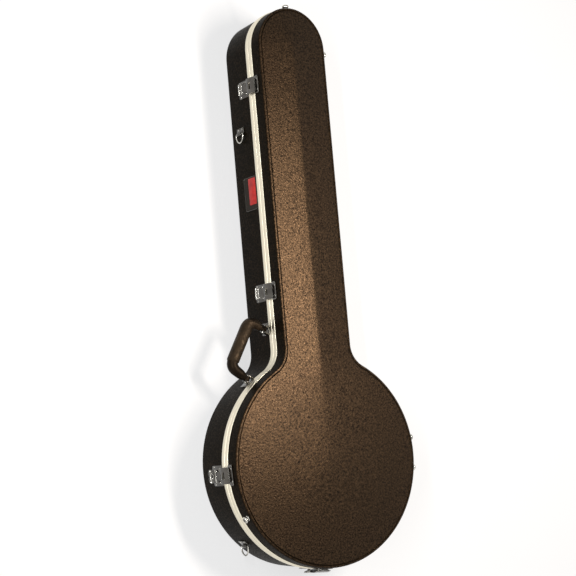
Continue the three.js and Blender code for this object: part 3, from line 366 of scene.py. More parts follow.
def finish_piece(bm, name, finish, body, nodes=(), place=None, edge=0.0, crease=34, other=None):
    """Closes a mesh, gives it its edges, shading and material, and puts it on its body. Some faces may have
    another finish, given as a pair with the test that picks them. Chrome always gets the bright copy as
    painted glints on its small rounded faces."""
    # painted highlight: small rounded chrome faces take the bright copy
    if finish is CHROME:
        other = (CHROME_GLINT, takes_painted_glint)
    bmesh.ops.remove_doubles(bm, verts=bm.verts, dist=0.005)
    bmesh.ops.dissolve_degenerate(bm, edges=bm.edges, dist=0.001)
    bmesh.ops.recalc_face_normals(bm, faces=bm.faces)
    if edge:
        soften(bm, edge)
    for face in bm.faces:
        face.smooth = True
        face.material_index = int(bool(other and other[1](face)))
    for rim in sharp_edges(bm, crease):
        rim.smooth = False
    bmesh.ops.transform(bm, matrix=Matrix.Scale(MM, 4) @ (place or Matrix()), verts=bm.verts)
    mesh = bpy.data.meshes.new(name)
    bm.to_mesh(mesh)
    bm.free()
    mesh.materials.append(finish)
    if other:
        mesh.materials.append(other[0])
    made = bpy.data.objects.new(name, mesh)
    bpy.context.scene.collection.objects.link(made)
    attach(made, body)
    if nodes:
        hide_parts(*nodes)
    return made


def new_since(items, old):
    """Items that weren't there before."""
    return [item for item in items if item not in old]


def slab(bm, points, axis, start, end, radius=0.0):
    """Plate with this outline in its other two axes, from start to end along its axis."""
    k = "XYZ".index(axis)
    old = set(bm.faces)
    corners = [bm.verts.new([*p[:k], start, *p[k:]]) for p in points]
    bm.faces.new(corners)
    if radius:
        bmesh.ops.bevel(
            bm, geom=corners, offset=radius, offset_type="OFFSET", segments=4,
            profile=0.5, affect="VERTICES", material=-1, clamp_overlap=True,
        )
    grown = bmesh.ops.extrude_face_region(bm, geom=new_since(bm.faces, old))["geom"]
    reach = [0, 0, 0]
    reach[k] = end - start
    bmesh.ops.translate(bm, verts=[v for v in grown if isinstance(v, bmesh.types.BMVert)], vec=reach)


def rectangle(low, high):
    return [(low[0], low[1]), (high[0], low[1]), (high[0], high[1]), (low[0], high[1])]


def turned(bm, profile, centre, axis="X", steps=24):
    """Solid of revolution. The profile runs from pole to pole, as pairs of radius and distance along."""
    k = "XYZ".index(axis)
    along, across = Vector((0, 0, 0)), Vector((0, 0, 0))
    along[k] = 1
    across[(k + 1) % 3] = 1
    verts = [bm.verts.new(Vector(centre) + along * h + across * r) for r, h in profile]
    edges = [bm.edges.new(pair) for pair in zip(verts, verts[1:])]
    old = set(bm.verts) - set(verts)
    bmesh.ops.spin(
        bm, geom=verts + edges, cent=centre, axis=along, angle=2 * math.pi, steps=steps,
        use_merge=True, use_duplicate=False,
    )
    bmesh.ops.remove_doubles(bm, verts=new_since(bm.verts, old), dist=0.001)


def rounded_bar(radius, start, end, edge):
    """Profile of a round bar whose ends have rounded rims."""
    return [
        (0, start), (radius - edge, start), (radius - edge * 0.3, start + edge * 0.3), (radius, start + edge),
        (radius, end - edge), (radius - edge * 0.3, end - edge * 0.3), (radius - edge, end), (0, end),
    ]


def dome(radius, seat, height):
    """Profile of a domed rivet head, from under its plate."""
    points = [(0, seat - 0.6), (radius, seat - 0.6), (radius, seat + 0.15 * height)]
    for step in (0.3, 0.6, 0.85):
        a = step * math.pi / 2
        points.append((radius * math.cos(a), seat + height * (0.15 + 0.85 * math.sin(a))))
    return [*points, (0, seat + height)]


def folded_sheet(bm, profile, columns, thickness, windows=()):
    """Sheet metal: a profile in x and z drawn out along y through the columns, with its windows cut."""
    old_faces = set(bm.faces)
    verts = [bm.verts.new((x, columns[0], z)) for x, z in profile]
    edges = [bm.edges.new(pair) for pair in zip(verts, verts[1:])]
    for here, there in zip(columns, columns[1:]):
        grown = bmesh.ops.extrude_edge_only(bm, edges=edges)["geom"]
        moved = [v for v in grown if isinstance(v, bmesh.types.BMVert)]
        bmesh.ops.translate(bm, verts=moved, vec=(0, there - here, 0))
        edges = [e for e in grown if isinstance(e, bmesh.types.BMEdge)]
    faces = new_since(bm.faces, old_faces)
    for low, high in windows:
        cut = [
            f for f in faces
            if low[0] < f.calc_center_median().y < high[0] and low[1] < f.calc_center_median().z < high[1]
        ]
        bmesh.ops.delete(bm, geom=cut, context="FACES")
        faces = [f for f in faces if f.is_valid]
    bmesh.ops.solidify(bm, geom=faces, thickness=thickness)


def swept(bm, path, radii, sides, up, closed=False):
    """Round bar along a path that lies across the up direction."""
    loops = []
    count = len(path)
    for i, point in enumerate(path):
        before = path[i - 1] if closed or i else path[0]
        after = path[(i + 1) % count] if closed or i < count - 1 else path[-1]
        forward = (after - before).normalized()
        side = up.cross(forward).normalized()
        turn = Matrix((side, up, forward)).transposed().to_4x4()
        made = bmesh.ops.create_circle(
            bm, cap_ends=False, radius=radii[i], segments=sides, matrix=Matrix.Translation(point) @ turn,
        )["verts"]
        loops.append(list({e for v in made for e in v.link_edges}))
    for a, b in zip(loops, loops[1:]):
        bmesh.ops.bridge_loops(bm, edges=a + b)
    if closed:
        bmesh.ops.bridge_loops(bm, edges=loops[-1] + loops[0])
    else:
        for end in (loops[0], loops[-1]):
            bmesh.ops.edgeloop_fill(bm, edges=end)


def rounded_path(corners, radius, steps):
    """A path through corners, with each one rounded."""
    path = [corners[0].copy()]
    for before, corner, after in zip(corners, corners[1:], corners[2:]):
        inwards, onwards = (before - corner).normalized(), (after - corner).normalized()
        back = radius / math.tan(inwards.angle(onwards) / 2)
        start, stop = corner + inwards * back, corner + onwards * back
        for k in range(steps + 1):
            t = k / steps
            path.append(start.lerp(corner, t).lerp(corner.lerp(stop, t), t))
    return [*path, corners[-1].copy()]


# Outlines, drawn once by spinning and extruding a vertex

def spin_vertex(bm, vert, centre, angle, steps):
    """Draws an arc from a vertex and returns its last one."""
    made = bmesh.ops.spin(
        bm, geom=[vert], cent=centre, axis=(0, 0, 1), angle=angle, steps=steps, use_merge=False,
        use_duplicate=False,
    )["geom_last"]
    return next(v for v in made if isinstance(v, bmesh.types.BMVert))


def draw_to(bm, vert, target, steps=1):
    """Draws a straight line of edges from a vertex to a point and returns its last vertex."""
    stride = (Vector(target) - vert.co) / steps
    for _ in range(steps):
        vert = bmesh.ops.extrude_vert_indiv(bm, verts=[vert])["verts"][0]
        vert.co += stride
    return vert


def outline(name, draw):
    """Outline mesh from the drawing of its right half, with each vertex's outward direction."""
    bm = bmesh.new()
    draw(bm)
    bmesh.ops.mirror(bm, geom=bm.verts[:] + bm.edges[:], matrix=Matrix(), merge_dist=0.001, axis="X")
    start = min(bm.verts, key=lambda v: v.co.y)
    walk = [start]
    here = max((e.other_vert(start) for e in start.link_edges), key=lambda v: v.co.x)
    while here is not start:
        walk.append(here)
        here = next(v for v in (e.other_vert(here) for e in here.link_edges) if v is not walk[-2])
    outward = {}
    for i, vert in enumerate(walk):
        into = (vert.co - walk[i - 1].co).normalized()
        out = (walk[(i + 1) % len(walk)].co - vert.co).normalized()
        first, second = Vector((into.y, -into.x, 0)), Vector((out.y, -out.x, 0))
        outward[vert] = (first + second) / (1 + first.dot(second))
    mesh = bpy.data.meshes.new(name)
    bm.to_mesh(mesh)
    directions = [outward[v] for v in bm.verts]
    bm.free()
    return mesh, directions


def draw_case(bm):
    """Right half of the case: body, waist, neck and the flattened arc of the head."""
    vert = spin_vertex(bm, bm.verts.new((0, -BODY_RADIUS, 0)), (0, 0, 0), WAIST_ANGLE + math.pi / 2, 66)
    vert = spin_vertex(bm, vert, (WAIST_X, WAIST_Y, 0), -WAIST_ANGLE, 12)
    vert = draw_to(bm, vert, (NECK_HALF, HEAD_CENTRE, 0), 24)
    old = set(bm.verts)
    spin_vertex(bm, vert, (0, HEAD_CENTRE, 0), math.pi / 2, 24)
    bmesh.ops.scale(
        bm, vec=(1, HEAD_CROWN / NECK_HALF, 1), verts=new_since(bm.verts, old),
        space=Matrix.Translation((0, -HEAD_CENTRE, 0)),
    )


def draw_well(bm):
    """Right half of the well: resonator, channel for the neck, and the wider head."""
    mouth = math.atan2(math.sqrt(WELL_RADIUS ** 2 - CHANNEL_HALF ** 2), CHANNEL_HALF)
    vert = spin_vertex(bm, bm.verts.new((0, -WELL_RADIUS, 0)), (0, 0, 0), mouth + math.pi / 2, 60)
    vert = draw_to(bm, vert, (CHANNEL_HALF, HEAD_WELL_TAPER[0], 0), 16)
    vert = draw_to(bm, vert, (HEAD_WELL_HALF, HEAD_WELL_TAPER[1], 0), 2)
    vert = draw_to(bm, vert, (HEAD_WELL_HALF, HEAD_CENTRE, 0), 5)
    old = set(bm.verts)
    spin_vertex(bm, vert, (0, HEAD_CENTRE, 0), math.pi / 2, 18)
    bmesh.ops.scale(
        bm, vec=(1, HEAD_WELL_CROWN / HEAD_WELL_HALF, 1), verts=new_since(bm.verts, old),
        space=Matrix.Translation((0, -HEAD_CENTRE, 0)),
    )


CASE_OUTLINE = outline("case_outline", draw_case)
WELL_OUTLINE = outline("well_outline", draw_well)


def loop_at(bm, shape, offset, height, share=0.0):
    """Closed loop of an outline, offset outwards, at a height. A share draws it towards the centre line."""
    mesh, directions = shape
    first = len(bm.verts)
    bm.from_mesh(mesh)
    bm.verts.ensure_lookup_table()
    loop = bm.verts[first:]
    for vert, direction in zip(loop, directions):
        vert.co += direction * offset
        middle = Vector((0, min(max(vert.co.y, 0), HEAD_CENTRE), 0))
        vert.co = vert.co.lerp(middle, share)
        vert.co.z = height
    return list({e for v in loop for e in v.link_edges})


def skin(bm, loops, closed=False):
    """Bands of faces between loops."""
    for a, b in zip(loops, loops[1:]):
        bmesh.ops.bridge_loops(bm, edges=a + b)
    if closed:
        bmesh.ops.bridge_loops(bm, edges=loops[-1] + loops[0])


def case_bands(bm, pairs):
    """Loops of the case's outline, from pairs of offset and height."""
    return [loop_at(bm, CASE_OUTLINE, offset, height) for offset, height in pairs]


def corner(offset, height, radius, to_face, steps=6):
    """Rounded corner between a wall and a face: pairs from the wall to the face, up (1) or down (-1)."""
    angles = [math.pi / 2 * i / steps for i in range(steps + 1)]
    return [
        (offset - radius * (1 - math.cos(a)), height - to_face * radius * (1 - math.sin(a))) for a in angles
    ]


def groove(start, width, depth, height, into):
    """Rounded groove across a face: pairs from its outer edge inwards."""
    shares = [i / 6 for i in range(7)]
    return [(start - width * s, height - into * depth * math.sin(math.pi * s)) for s in shares]


# Shells

def crowned(bm, start, height, rise):
    """Face that climbs from a loop at an offset to the soft ridge over the centre line."""
    shares = (0.0, 0.12, 0.25, 0.38, 0.5, 0.62, 0.74, 0.84, 0.91, 0.96, 1.0)
    return [
        loop_at(bm, CASE_OUTLINE, start, height + rise * (s - 0.03 * max(0.0, (s - 0.84) / 0.16) ** 2), s)
        for s in shares
    ]


def make_shells():
    """Base with a line pressed round its back, and lid with the photographed line round its face."""
    bm = bmesh.new()
    back = [loop_at(bm, CASE_OUTLINE, -26, 0, s) for s in (1.0, 0.6, 0.25)]
    line = case_bands(bm, reversed(groove(-19, 2.6, 0.7, 0, -1)))
    outer = case_bands(bm, [*reversed(corner(-BASE_DRAFT, 0, BACK_RADIUS, -1)), (0, BASE_WALL), (0, 97.9)])
    inner = case_bands(bm, [(-WALL, 97.9), (-WALL, BASE_WALL), *corner(-BASE_DRAFT - WALL, WALL, 4.5, -1, 3)])
    floor = [loop_at(bm, CASE_OUTLINE, -12, WALL, s) for s in (0.3, 1.0)]
    skin(bm, [*back, *line, *outer, *inner, *floor])
    # the whole base takes the dimmer copy, as painted shade on its walls
    finish_piece(bm, "base_shell_formed", ABS_WALL_DIMMED, "base", ["base_shell"])

    bm = bmesh.new()
    inside = [loop_at(bm, CASE_OUTLINE, -8, FACE - WALL + RIDGE * s, s) for s in (1.0, 0.5)]
    inner = case_bands(bm, [
        *reversed(corner(-1 - WALL, FACE - WALL, 3.2, 1, 2)), (-WALL, LID_WALL), (-WALL, 103.1),
    ])
    outer = case_bands(bm, [(0, 103.1), (0, LID_WALL), *corner(-0.2, FACE, LID_ROUND, 1)])
    line = case_bands(bm, groove(-LINE_START, LINE_WIDTH, LINE_DEPTH, FACE, 1))
    face = crowned(bm, -LINE_START - LINE_WIDTH, FACE, RIDGE)
    skin(bm, [*inside, *inner, *outer, *line, *face[1:]])
    # walls, picked by facing, take the dimmer copy as painted shade; the face keeps the brighter one
    wall = (ABS_WALL_DIMMED, lambda face: face.normal.z < 0.55)
    finish_piece(bm, "lid_shell_formed", ABS_FACE, "lid", ["lid_shell"], other=wall)


# Valances

def flange_face(low, high):
    """Outer face of a valance with rounded rims and a slight bulge, from low to high."""
    half = (high - low) / 2
    rims = [(FLANGE - 1.0, low), (FLANGE - 0.55, low + 0.25), (FLANGE - 0.15, low + 0.7), (FLANGE, low + 1.2)]
    crown = [
        (FLANGE + BULGE * (1 - s * s), low + half + s * (half - 1.2))
        for s in (-0.75, -0.5, -0.25, 0.0, 0.25, 0.5, 0.75)
    ]
    ends = [(x, low + high - z) for x, z in reversed(rims)]
    return [*rims, *crown, *ends]


def make_valances():
    """Two extrusions that hold the shells' edges, with a tongue on the base and a groove in the lid."""
    bm = bmesh.new()
    skin(bm, case_bands(bm, [
        (SEAT, BASE_WALL), *flange_face(BASE_WALL, BASE_TOP), (-1.4, BASE_TOP), (-1.4, 101.3),
        (-2.6, 101.3), (-2.6, BASE_TOP), (-VALANCE_INNER, BASE_TOP), (-VALANCE_INNER, 91.9),
        (-WALL - SEAT, 91.9), (-WALL - SEAT, 98.2), (SEAT, 98.2),
    ]), closed=True)
    finish_piece(bm, "base_valance_drawn", ALUMINIUM, "base", ["base_valance"])
    bm = bmesh.new()
    skin(bm, case_bands(bm, [
        *flange_face(LID_BOTTOM, LID_WALL), (SEAT, LID_WALL), (SEAT, 102.7), (-WALL - SEAT, 102.7),
        (-WALL - SEAT, 107.2), (-VALANCE_INNER, 107.2), (-VALANCE_INNER, LID_BOTTOM), (-3.3, LID_BOTTOM),
        (-3.3, 101.9), (-0.7, 101.9), (-0.7, LID_BOTTOM),
    ]), closed=True)
    finish_piece(bm, "lid_valance_drawn", ALUMINIUM, "lid", ["lid_valance"])


# Linings

def make_linings():
    """Padded base lining with the well for the banjo, and the lid's lining with its rim."""
    bm = bmesh.new()
    under = [loop_at(bm, CASE_OUTLINE, -14, 3.9, s) for s in (1.0, 0.4)]
    outer = case_bands(bm, [(-10.2, 3.9), (-LINING_SIDE, 13.4), (-LINING_SIDE, 94), (-6.2, 95.6), (-8, 96.7)])
    top = case_bands(bm, [(-10.5, LINING_TOP)])
    well = [loop_at(bm, WELL_OUTLINE, offset, height) for offset, height in (
        (5.0, LINING_TOP), (2.6, 96.6), (0.8, 95.2), (0.1, 93.0), (0, 70), (0, 30), (-0.4, 18), (-1.4, 15),
        (-3.4, 13.5), (-6.4, WELL_FLOOR),
    )]
    skin(bm, [*under, *outer, *top, *well])
    bmesh.ops.edgeloop_fill(bm, edges=well[-1])
    made = finish_piece(bm, "base_lining_plush", PLUSH, "base", ["base_lining"])

    bm = bmesh.new()
    inner = -LINING_SIDE - 9
    foot = 103.6
    ceiling = [loop_at(bm, CASE_OUTLINE, inner - 6, 129, s) for s in (1.0, 0.7, 0.35)]
    under = case_bands(bm, [(inner - 3, 128.9), (inner - 1.0, 128.2), (inner - 0.1, 126)])
    lip = case_bands(bm, [
        (inner, 106.4), (inner + 0.8, 104.4), (inner + 2.6, foot), (-LINING_SIDE - 1, foot),
    ])
    outer = case_bands(bm, [(-LINING_SIDE, 104.6), (-LINING_SIDE, 133.4), (-8.7, 137)])
    roof = [loop_at(bm, CASE_OUTLINE, -12, 137, s) for s in (0.3, 1.0)]
    skin(bm, [*ceiling, *under, *lip, *outer, *roof])
    made = finish_piece(bm, "lid_lining_plush", PLUSH, "lid", ["lid_lining"])


SOFT_HALF = 44.6
SOFT_LOW = 13.4
REST_TOP, REST_NOTCH = 71.4, 47.4
REST_LENGTH = 42
BOX_START, BOX_END, BOX_TOP = 290.02, 480.02, 46.4


def make_rests():
    """Foam blocks under plush, with a notch for the neck and rounded edges."""
    right = [(SOFT_HALF, SOFT_LOW), (SOFT_HALF, REST_TOP), (34, REST_TOP), (26, REST_NOTCH)]
    points = [(-SOFT_HALF, SOFT_LOW), *right, *[(-x, z) for x, z in reversed(right[1:])]]
    for name, node, start in (
        ("heel_rest_plush", "neck_rest_heel", 222.02), ("nut_rest_plush", "neck_rest_nut", 612.0),
    ):
        bm = bmesh.new()
        slab(bm, points, "Y", start, start + REST_LENGTH)
        bmesh.ops.recalc_face_normals(bm, faces=bm.faces)
        soften(bm, 3.2, 4, 20)
        bmesh.ops.triangulate(bm, faces=[f for f in bm.faces if len(f.verts) > 4])
        made = finish_piece(bm, name, PLUSH, "base", [node], crease=60)


def make_box():
    """Accessory box with a ledge inside its rounded rim, its lid, and the ribbon that lifts it."""
    low, top = SOFT_LOW, BOX_TOP
    middle, reach = (BOX_START + BOX_END) / 2, (BOX_END - BOX_START) / 2
    bm = bmesh.new()
    loops = []
    for inset, height in (
        (4, low), (1.2, low), (0, low + 1.2), (0, top - 1.6), (0.5, top - 0.5), (1.6, top), (3.6, top),
        (4.6, top - 0.4), (5, top - 1.2), (5, top - 3.5), (8, top - 3.5), (8, low + 3), (12, low + 3),
    ):
        size = Matrix.Diagonal((SOFT_HALF - inset, reach - inset, 1, 1))
        bmesh.ops.create_grid(
            bm, x_segments=1, y_segments=1, size=1, matrix=Matrix.Translation((0, middle, height)) @ size,
        )
        face = bm.faces[:][-1]
        loops.append(list(face.edges))
        if inset not in (4, 12):
            bmesh.ops.delete(bm, geom=[face], context="FACES_ONLY")
    skin(bm, loops)
    made = finish_piece(bm, "accessory_box_plush", PLUSH, "base", ["accessory_box"])

    bm = bmesh.new()
    slab(bm, rectangle((-39.2, 295.42), (39.2, 474.62)), "Z", 43.2, BOX_TOP, 2.0)
    bmesh.ops.recalc_face_normals(bm, faces=bm.faces)
    soften(bm, 1.1, 3, 60)
    made = finish_piece(bm, "accessory_lid_plush", PLUSH, "box_lid", ["accessory_lid"], crease=50)

    bm = bmesh.new()
    ribbon = [(25.2, 46.9), (28, 47.3), (33, 47.5), (37, 47.2), (39.2, 46.9)]
    folded_sheet(bm, ribbon, [377.1, 381, 389, 392.9], 0.9)
    made = finish_piece(bm, "pull_tab_ribbon", RIBBON, "box_lid", ["accessory_pull_tab"], edge=0.15)


# Frames on the wall: local X points outwards, local Y along the wall

def wall_frame(x, y, degrees):
    return Matrix.Translation((x, y, 0)) @ Matrix.Rotation(math.radians(degrees), 4, "Z")


def body_frame(degrees, inwards=0.0):
    a = math.radians(degrees)
    return wall_frame((BODY_RADIUS - inwards) * math.cos(a), (BODY_RADIUS - inwards) * math.sin(a), degrees)


def neck_frame(y, inwards=0.0):
    """On the neck's left side."""
    return wall_frame(-(NECK_HALF - inwards), y, 180)


# Draw latches

PLATE_LOW, PLATE_TOP = 52.0, 87.4
PIVOT_X, PIVOT_Z = 4.3, 83.0
HOOK_X, HOOK_Z = 6.8, 76.0
LEVER_FACE = 8.9
RIVET_RADIUS, RIVET_HEIGHT = 1.9, 0.8
KEEPER_LOW, KEEPER_TOP = 111.7, 127.0
CLAW_WINDOW = ((-7, 98.4), (7, 107.4))
LOCK_Z = 63.5


def latch_plate(bm, width, lever_width):
    """Base plate with two folded ears, the pivot pin between them and two rivets."""
    half, ear = width / 2, lever_width / 2 + 0.4
    slab(bm, rectangle((-half, PLATE_LOW), (half, PLATE_TOP)), "X", 0.4, 1.6, 3.4)
    shape = [(1.0, 78.5), (5.3, 78.5), (6.6, 79.8), (6.6, 86.1), (5.3, PLATE_TOP), (1.0, PLATE_TOP)]
    for side in (-1, 1):
        slab(bm, shape, "Y", side * ear, side * (ear + 1.2), 0.6)
        rivet = dome(RIVET_RADIUS, 1.6, RIVET_HEIGHT)
        turned(bm, rivet, (0, side * (half + ear) / 2, PLATE_LOW + half * 0.33))
    turned(bm, rounded_bar(1.3, -ear - 1.2, ear + 1.2, 0.3), (PIVOT_X, 0, PIVOT_Z), "Y")


def latch_lever(bm, width, low, lobes=False):
    """Lever drawn from one sheet: a ribbed face with a turned-out lip, and a cheek on each side."""
    half = width / 2
    inner = half - 1.0
    face = [
        (10.5, low + 0.2), (10.1, low + 0.25), (9.7, low + 0.45), (9.35, low + 0.85), (9.08, low + 1.5),
        (LEVER_FACE, low + 2.4), (LEVER_FACE, low + 4), (LEVER_FACE, 70), (8.8, 71.4), (8.5, 72.3),
        (8.0, 72.9),
    ]
    columns = [-half, -inner, -inner * 0.7, -inner * 0.35, 0, inner * 0.35, inner * 0.7, inner, half]
    old = set(bm.verts)
    folded_sheet(bm, face, columns, 1.0)
    for vert in new_since(bm.verts, old):
        vert.co.x -= 0.3 * (vert.co.y / half) ** 2
    heel = [math.radians(a) for a in range(240, 44, -15)]
    cheek = [(PIVOT_X + 2.3 * math.cos(a), PIVOT_Z + 2.3 * math.sin(a)) for a in heel]
    cheek += [(8.4, 78.4), (8.6, 77), (8.5, low + 1), (7.8, low + 0.4), (7.2, low + 2)]
    for side in (-1, 1):
        slab(bm, cheek, "Y", side * inner, side * half)
        ends = sorted((side * (inner - 0.3), side * (half + 0.1)))
        turned(bm, rounded_bar(1.7, *ends, 0.2), (HOOK_X, 0, HOOK_Z), "Y")
    for z in (low + 2.6, low + 6.0):
        rib = [(8.3, z), (9.2, z + 0.2), (9.4, z + 0.7), (9.2, z + 1.2), (8.3, z + 1.4)]
        slab(bm, rib, "Y", -inner + 0.8, inner - 0.8)
    if lobes:
        lobe = [(0, 7.9), (6.6, 7.9), (7, 8.2), (7, 8.5), (6.6, 8.8), (5.6, 8.9), (0, 9.1)]
        for side in (-1, 1):
            turned(bm, lobe, (0, side * 6, 52))


def latch_hook(bm):
    """Hook: a strap from the lever, and a wide claw that bulges over the parting line, with a window."""
    strap = [(7.5, 74.7), (7.5, 78), (7.5, 84), (7.5, 91.2)]
    claw = [
        (7.5, 90.4), (8.0, 92.5), (8.4, 94.8), (8.75, 96.8), (8.9, 98.4), (8.9, 103), (8.9, 107.4),
        (8.6, 109.4), (7.9, 112), (7.0, 115.1), (6.2, 117.8), (5.7, 119),
    ]
    folded_sheet(bm, strap, [-8.5, -4, 0, 4, 8.5], 1.4)
    folded_sheet(bm, claw, [-16, -11.5, -7, 0, 7, 11.5, 16], 1.4, [CLAW_WINDOW])
    turned(bm, rounded_bar(1.0, -10.6, 10.6, 0.2), (HOOK_X, 0, HOOK_Z), "Y", 12)


def latch_keeper(bm, width):
    """Keeper plate with the lip that the claw hooks over, and two rivets."""
    half = width / 2
    slab(bm, rectangle((-half, KEEPER_LOW), (half, KEEPER_TOP)), "X", 0.4, 1.5, 3.4)
    lip = [(0.9, 114.2), (4.3, 114.2), (4.3, 118.6), (3.0, 118.6), (3.0, 115.5), (0.9, 115.5)]
    slab(bm, lip, "Y", -13, 13)
    for side in (-1, 1):
        turned(bm, dome(RIVET_RADIUS, 1.5, RIVET_HEIGHT), (0, side * half * 0.6, 123.4))


def lock_barrel(bm):
    """Lock cylinder with a rounded rim and a key slot."""
    circles = []
    for radius, x in (
        (5.0, 4.9), (5.0, 10.0), (4.8, 10.4), (4.4, 10.5), (3.6, 10.5), (3.4, 10.2), (3.2, 10.2),
    ):
        made = bmesh.ops.create_circle(
            bm, cap_ends=False, radius=radius, segments=28,
            matrix=Matrix.Translation((x, 0, LOCK_Z)) @ Matrix.Rotation(math.pi / 2, 4, "Y"),
        )["verts"]
        circles.append(list({e for v in made for e in v.link_edges}))
    slots = []
    for x in (10.2, 9.5):
        corners = rectangle((-0.6, LOCK_Z - 2.6), (0.6, LOCK_Z + 2.6))
        verts = [bm.verts.new((x, y, z)) for y, z in corners]
        slots.append([bm.edges.new((verts[i - 1], verts[i])) for i in range(4)])
    skin(bm, [*circles, *slots])
    bmesh.ops.edgeloop_fill(bm, edges=circles[0])
    bmesh.ops.edgeloop_fill(bm, edges=slots[-1])


LATCHES = (
    ("neck_upper", neck_frame(759), False),
    ("neck_lower", neck_frame(342.01), False),
    ("body", body_frame(183), True),
    ("tail", body_frame(-95), False),
)


def make_latches():
    """Four latches of plate, lever, hook and keeper; the one on the body is wider and locks."""
    for name, place, locking in LATCHES:
        width, lever_width, low = (40, 26, 54) if locking else (35, 22, 63.5)
        parts = (
            ("plate", "base", lambda bm: latch_plate(bm, width, lever_width)),
            ("lever", f"lever_{name}", lambda bm: latch_lever(bm, lever_width, low, locking)),
            ("hook", f"hook_{name}", latch_hook),
            ("keeper", "lid", lambda bm: latch_keeper(bm, width)),
        )
        for part, body, build in parts:
            bm = bmesh.new()
            build(bm)
            node = f"latch_{name}_{part}"
            finish_piece(bm, f"{node}_pressed", CHROME, body, [node], place, edge=0.35)
        if locking:
            bm = bmesh.new()
            lock_barrel(bm)
            finish_piece(bm, "lock_cylinder_turned", CHROME, "lock", ["lock_cylinder"], place)


# Small fittings

def softened_copy(node, name, width):
    """Chromed copy of a CAD node, merged, with its flat faces joined and its edges rounded."""
    bm = bmesh.new()
    bm.from_mesh(frame["nodes"][node].data)
    bmesh.ops.transform(bm, matrix=Matrix.Scale(1 / MM, 4), verts=bm.verts)
    bmesh.ops.remove_doubles(bm, verts=bm.verts, dist=0.01)
    bmesh.ops.dissolve_limit(bm, angle_limit=math.radians(0.6), verts=bm.verts, edges=bm.edges)
    bmesh.ops.recalc_face_normals(bm, faces=bm.faces)
    soften(bm, width, 2, 40)
    finish_piece(bm, name, CHROME, frame["nodes"][node]["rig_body"], [node], crease=38)


HINGE_X, HINGE_Z = 214.4, 99.55


def make_hinges():
    """Two hinges on one line: leaves with rolled knuckles, and pins with heads at both ends."""
    for side in ("upper", "lower"):
        for part in ("base_leaf", "lid_leaf"):
            node = f"hinge_{side}_{part}"
            softened_copy(node, f"{node}_rolled", 0.2)
        low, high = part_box(f"hinge_{side}_pin")
        bm = bmesh.new()
        start, end = low.y / MM, high.y / MM
        turned(bm, [
            (0, start), (1.5, start), (2.0, start + 0.3), (2.1, start + 1), (1.1, start + 1), (1.1, end - 1),
            (2.1, end - 1), (2.0, end - 0.3), (1.5, end), (0, end),
        ], (HINGE_X, 0, HINGE_Z), "Y", 20)
        finish_piece(bm, f"hinge_{side}_pin_headed", CHROME, "base", [f"hinge_{side}_pin"])


AXIS_OUT = 10.0
AXIS_Z = 84.0
UPPER_EYE = Vector((-NECK_HALF - AXIS_OUT, WAIST_Y + 42.7, AXIS_Z))
LOWER_ANGLE = math.radians(128.62)
LOWER_REACH = BODY_RADIUS + AXIS_OUT
LOWER_EYE = Vector((LOWER_REACH * math.cos(LOWER_ANGLE), LOWER_REACH * math.sin(LOWER_ANGLE), AXIS_Z))
CHORD = (LOWER_EYE - UPPER_EYE).normalized()
OUTWARDS = Vector((CHORD.y, -CHORD.x, 0))


def eye_bar(bm, profile, eye):
    """Turned bar along the handle's swing axis, centred on an eye."""
    old = set(bm.verts)
    turned(bm, profile, (0, 0, 0), "Y", 24)
    turn = Matrix.Rotation(math.atan2(CHORD.y, CHORD.x) - math.pi / 2, 4, "Z")
    bmesh.ops.transform(bm, matrix=Matrix.Translation(eye) @ turn, verts=new_since(bm.verts, old))


ELBOW_RADIUS = 17
BAR_END = 9.0  # the moulded grip ends this far before the lower elbow
EYE_START = 3.5  # the arms start this far from the middle of their eyes
UPPER_ARM = ((3, 5.2), (7, 6.4), (10, 8.4), (16, 9.8), (24, 10.8), (36, 12.1), (50, 12.5))
LOWER_ARM = ((3, 5.2), (7, 6.4), (10, 8.4), (16, 9.8), (38, 11.0), (49, 11.0), (50, 12.1), (52, 12.5))


def thickness(arm, distance):
    """Radius of the handle at a distance from an eye, from pairs of distance and radius."""
    for (near, low), (far, high) in zip(arm, arm[1:]):
        if distance < far:
            return low + (high - low) * max(0.0, distance - near) / (far - near)
    return arm[-1][1]


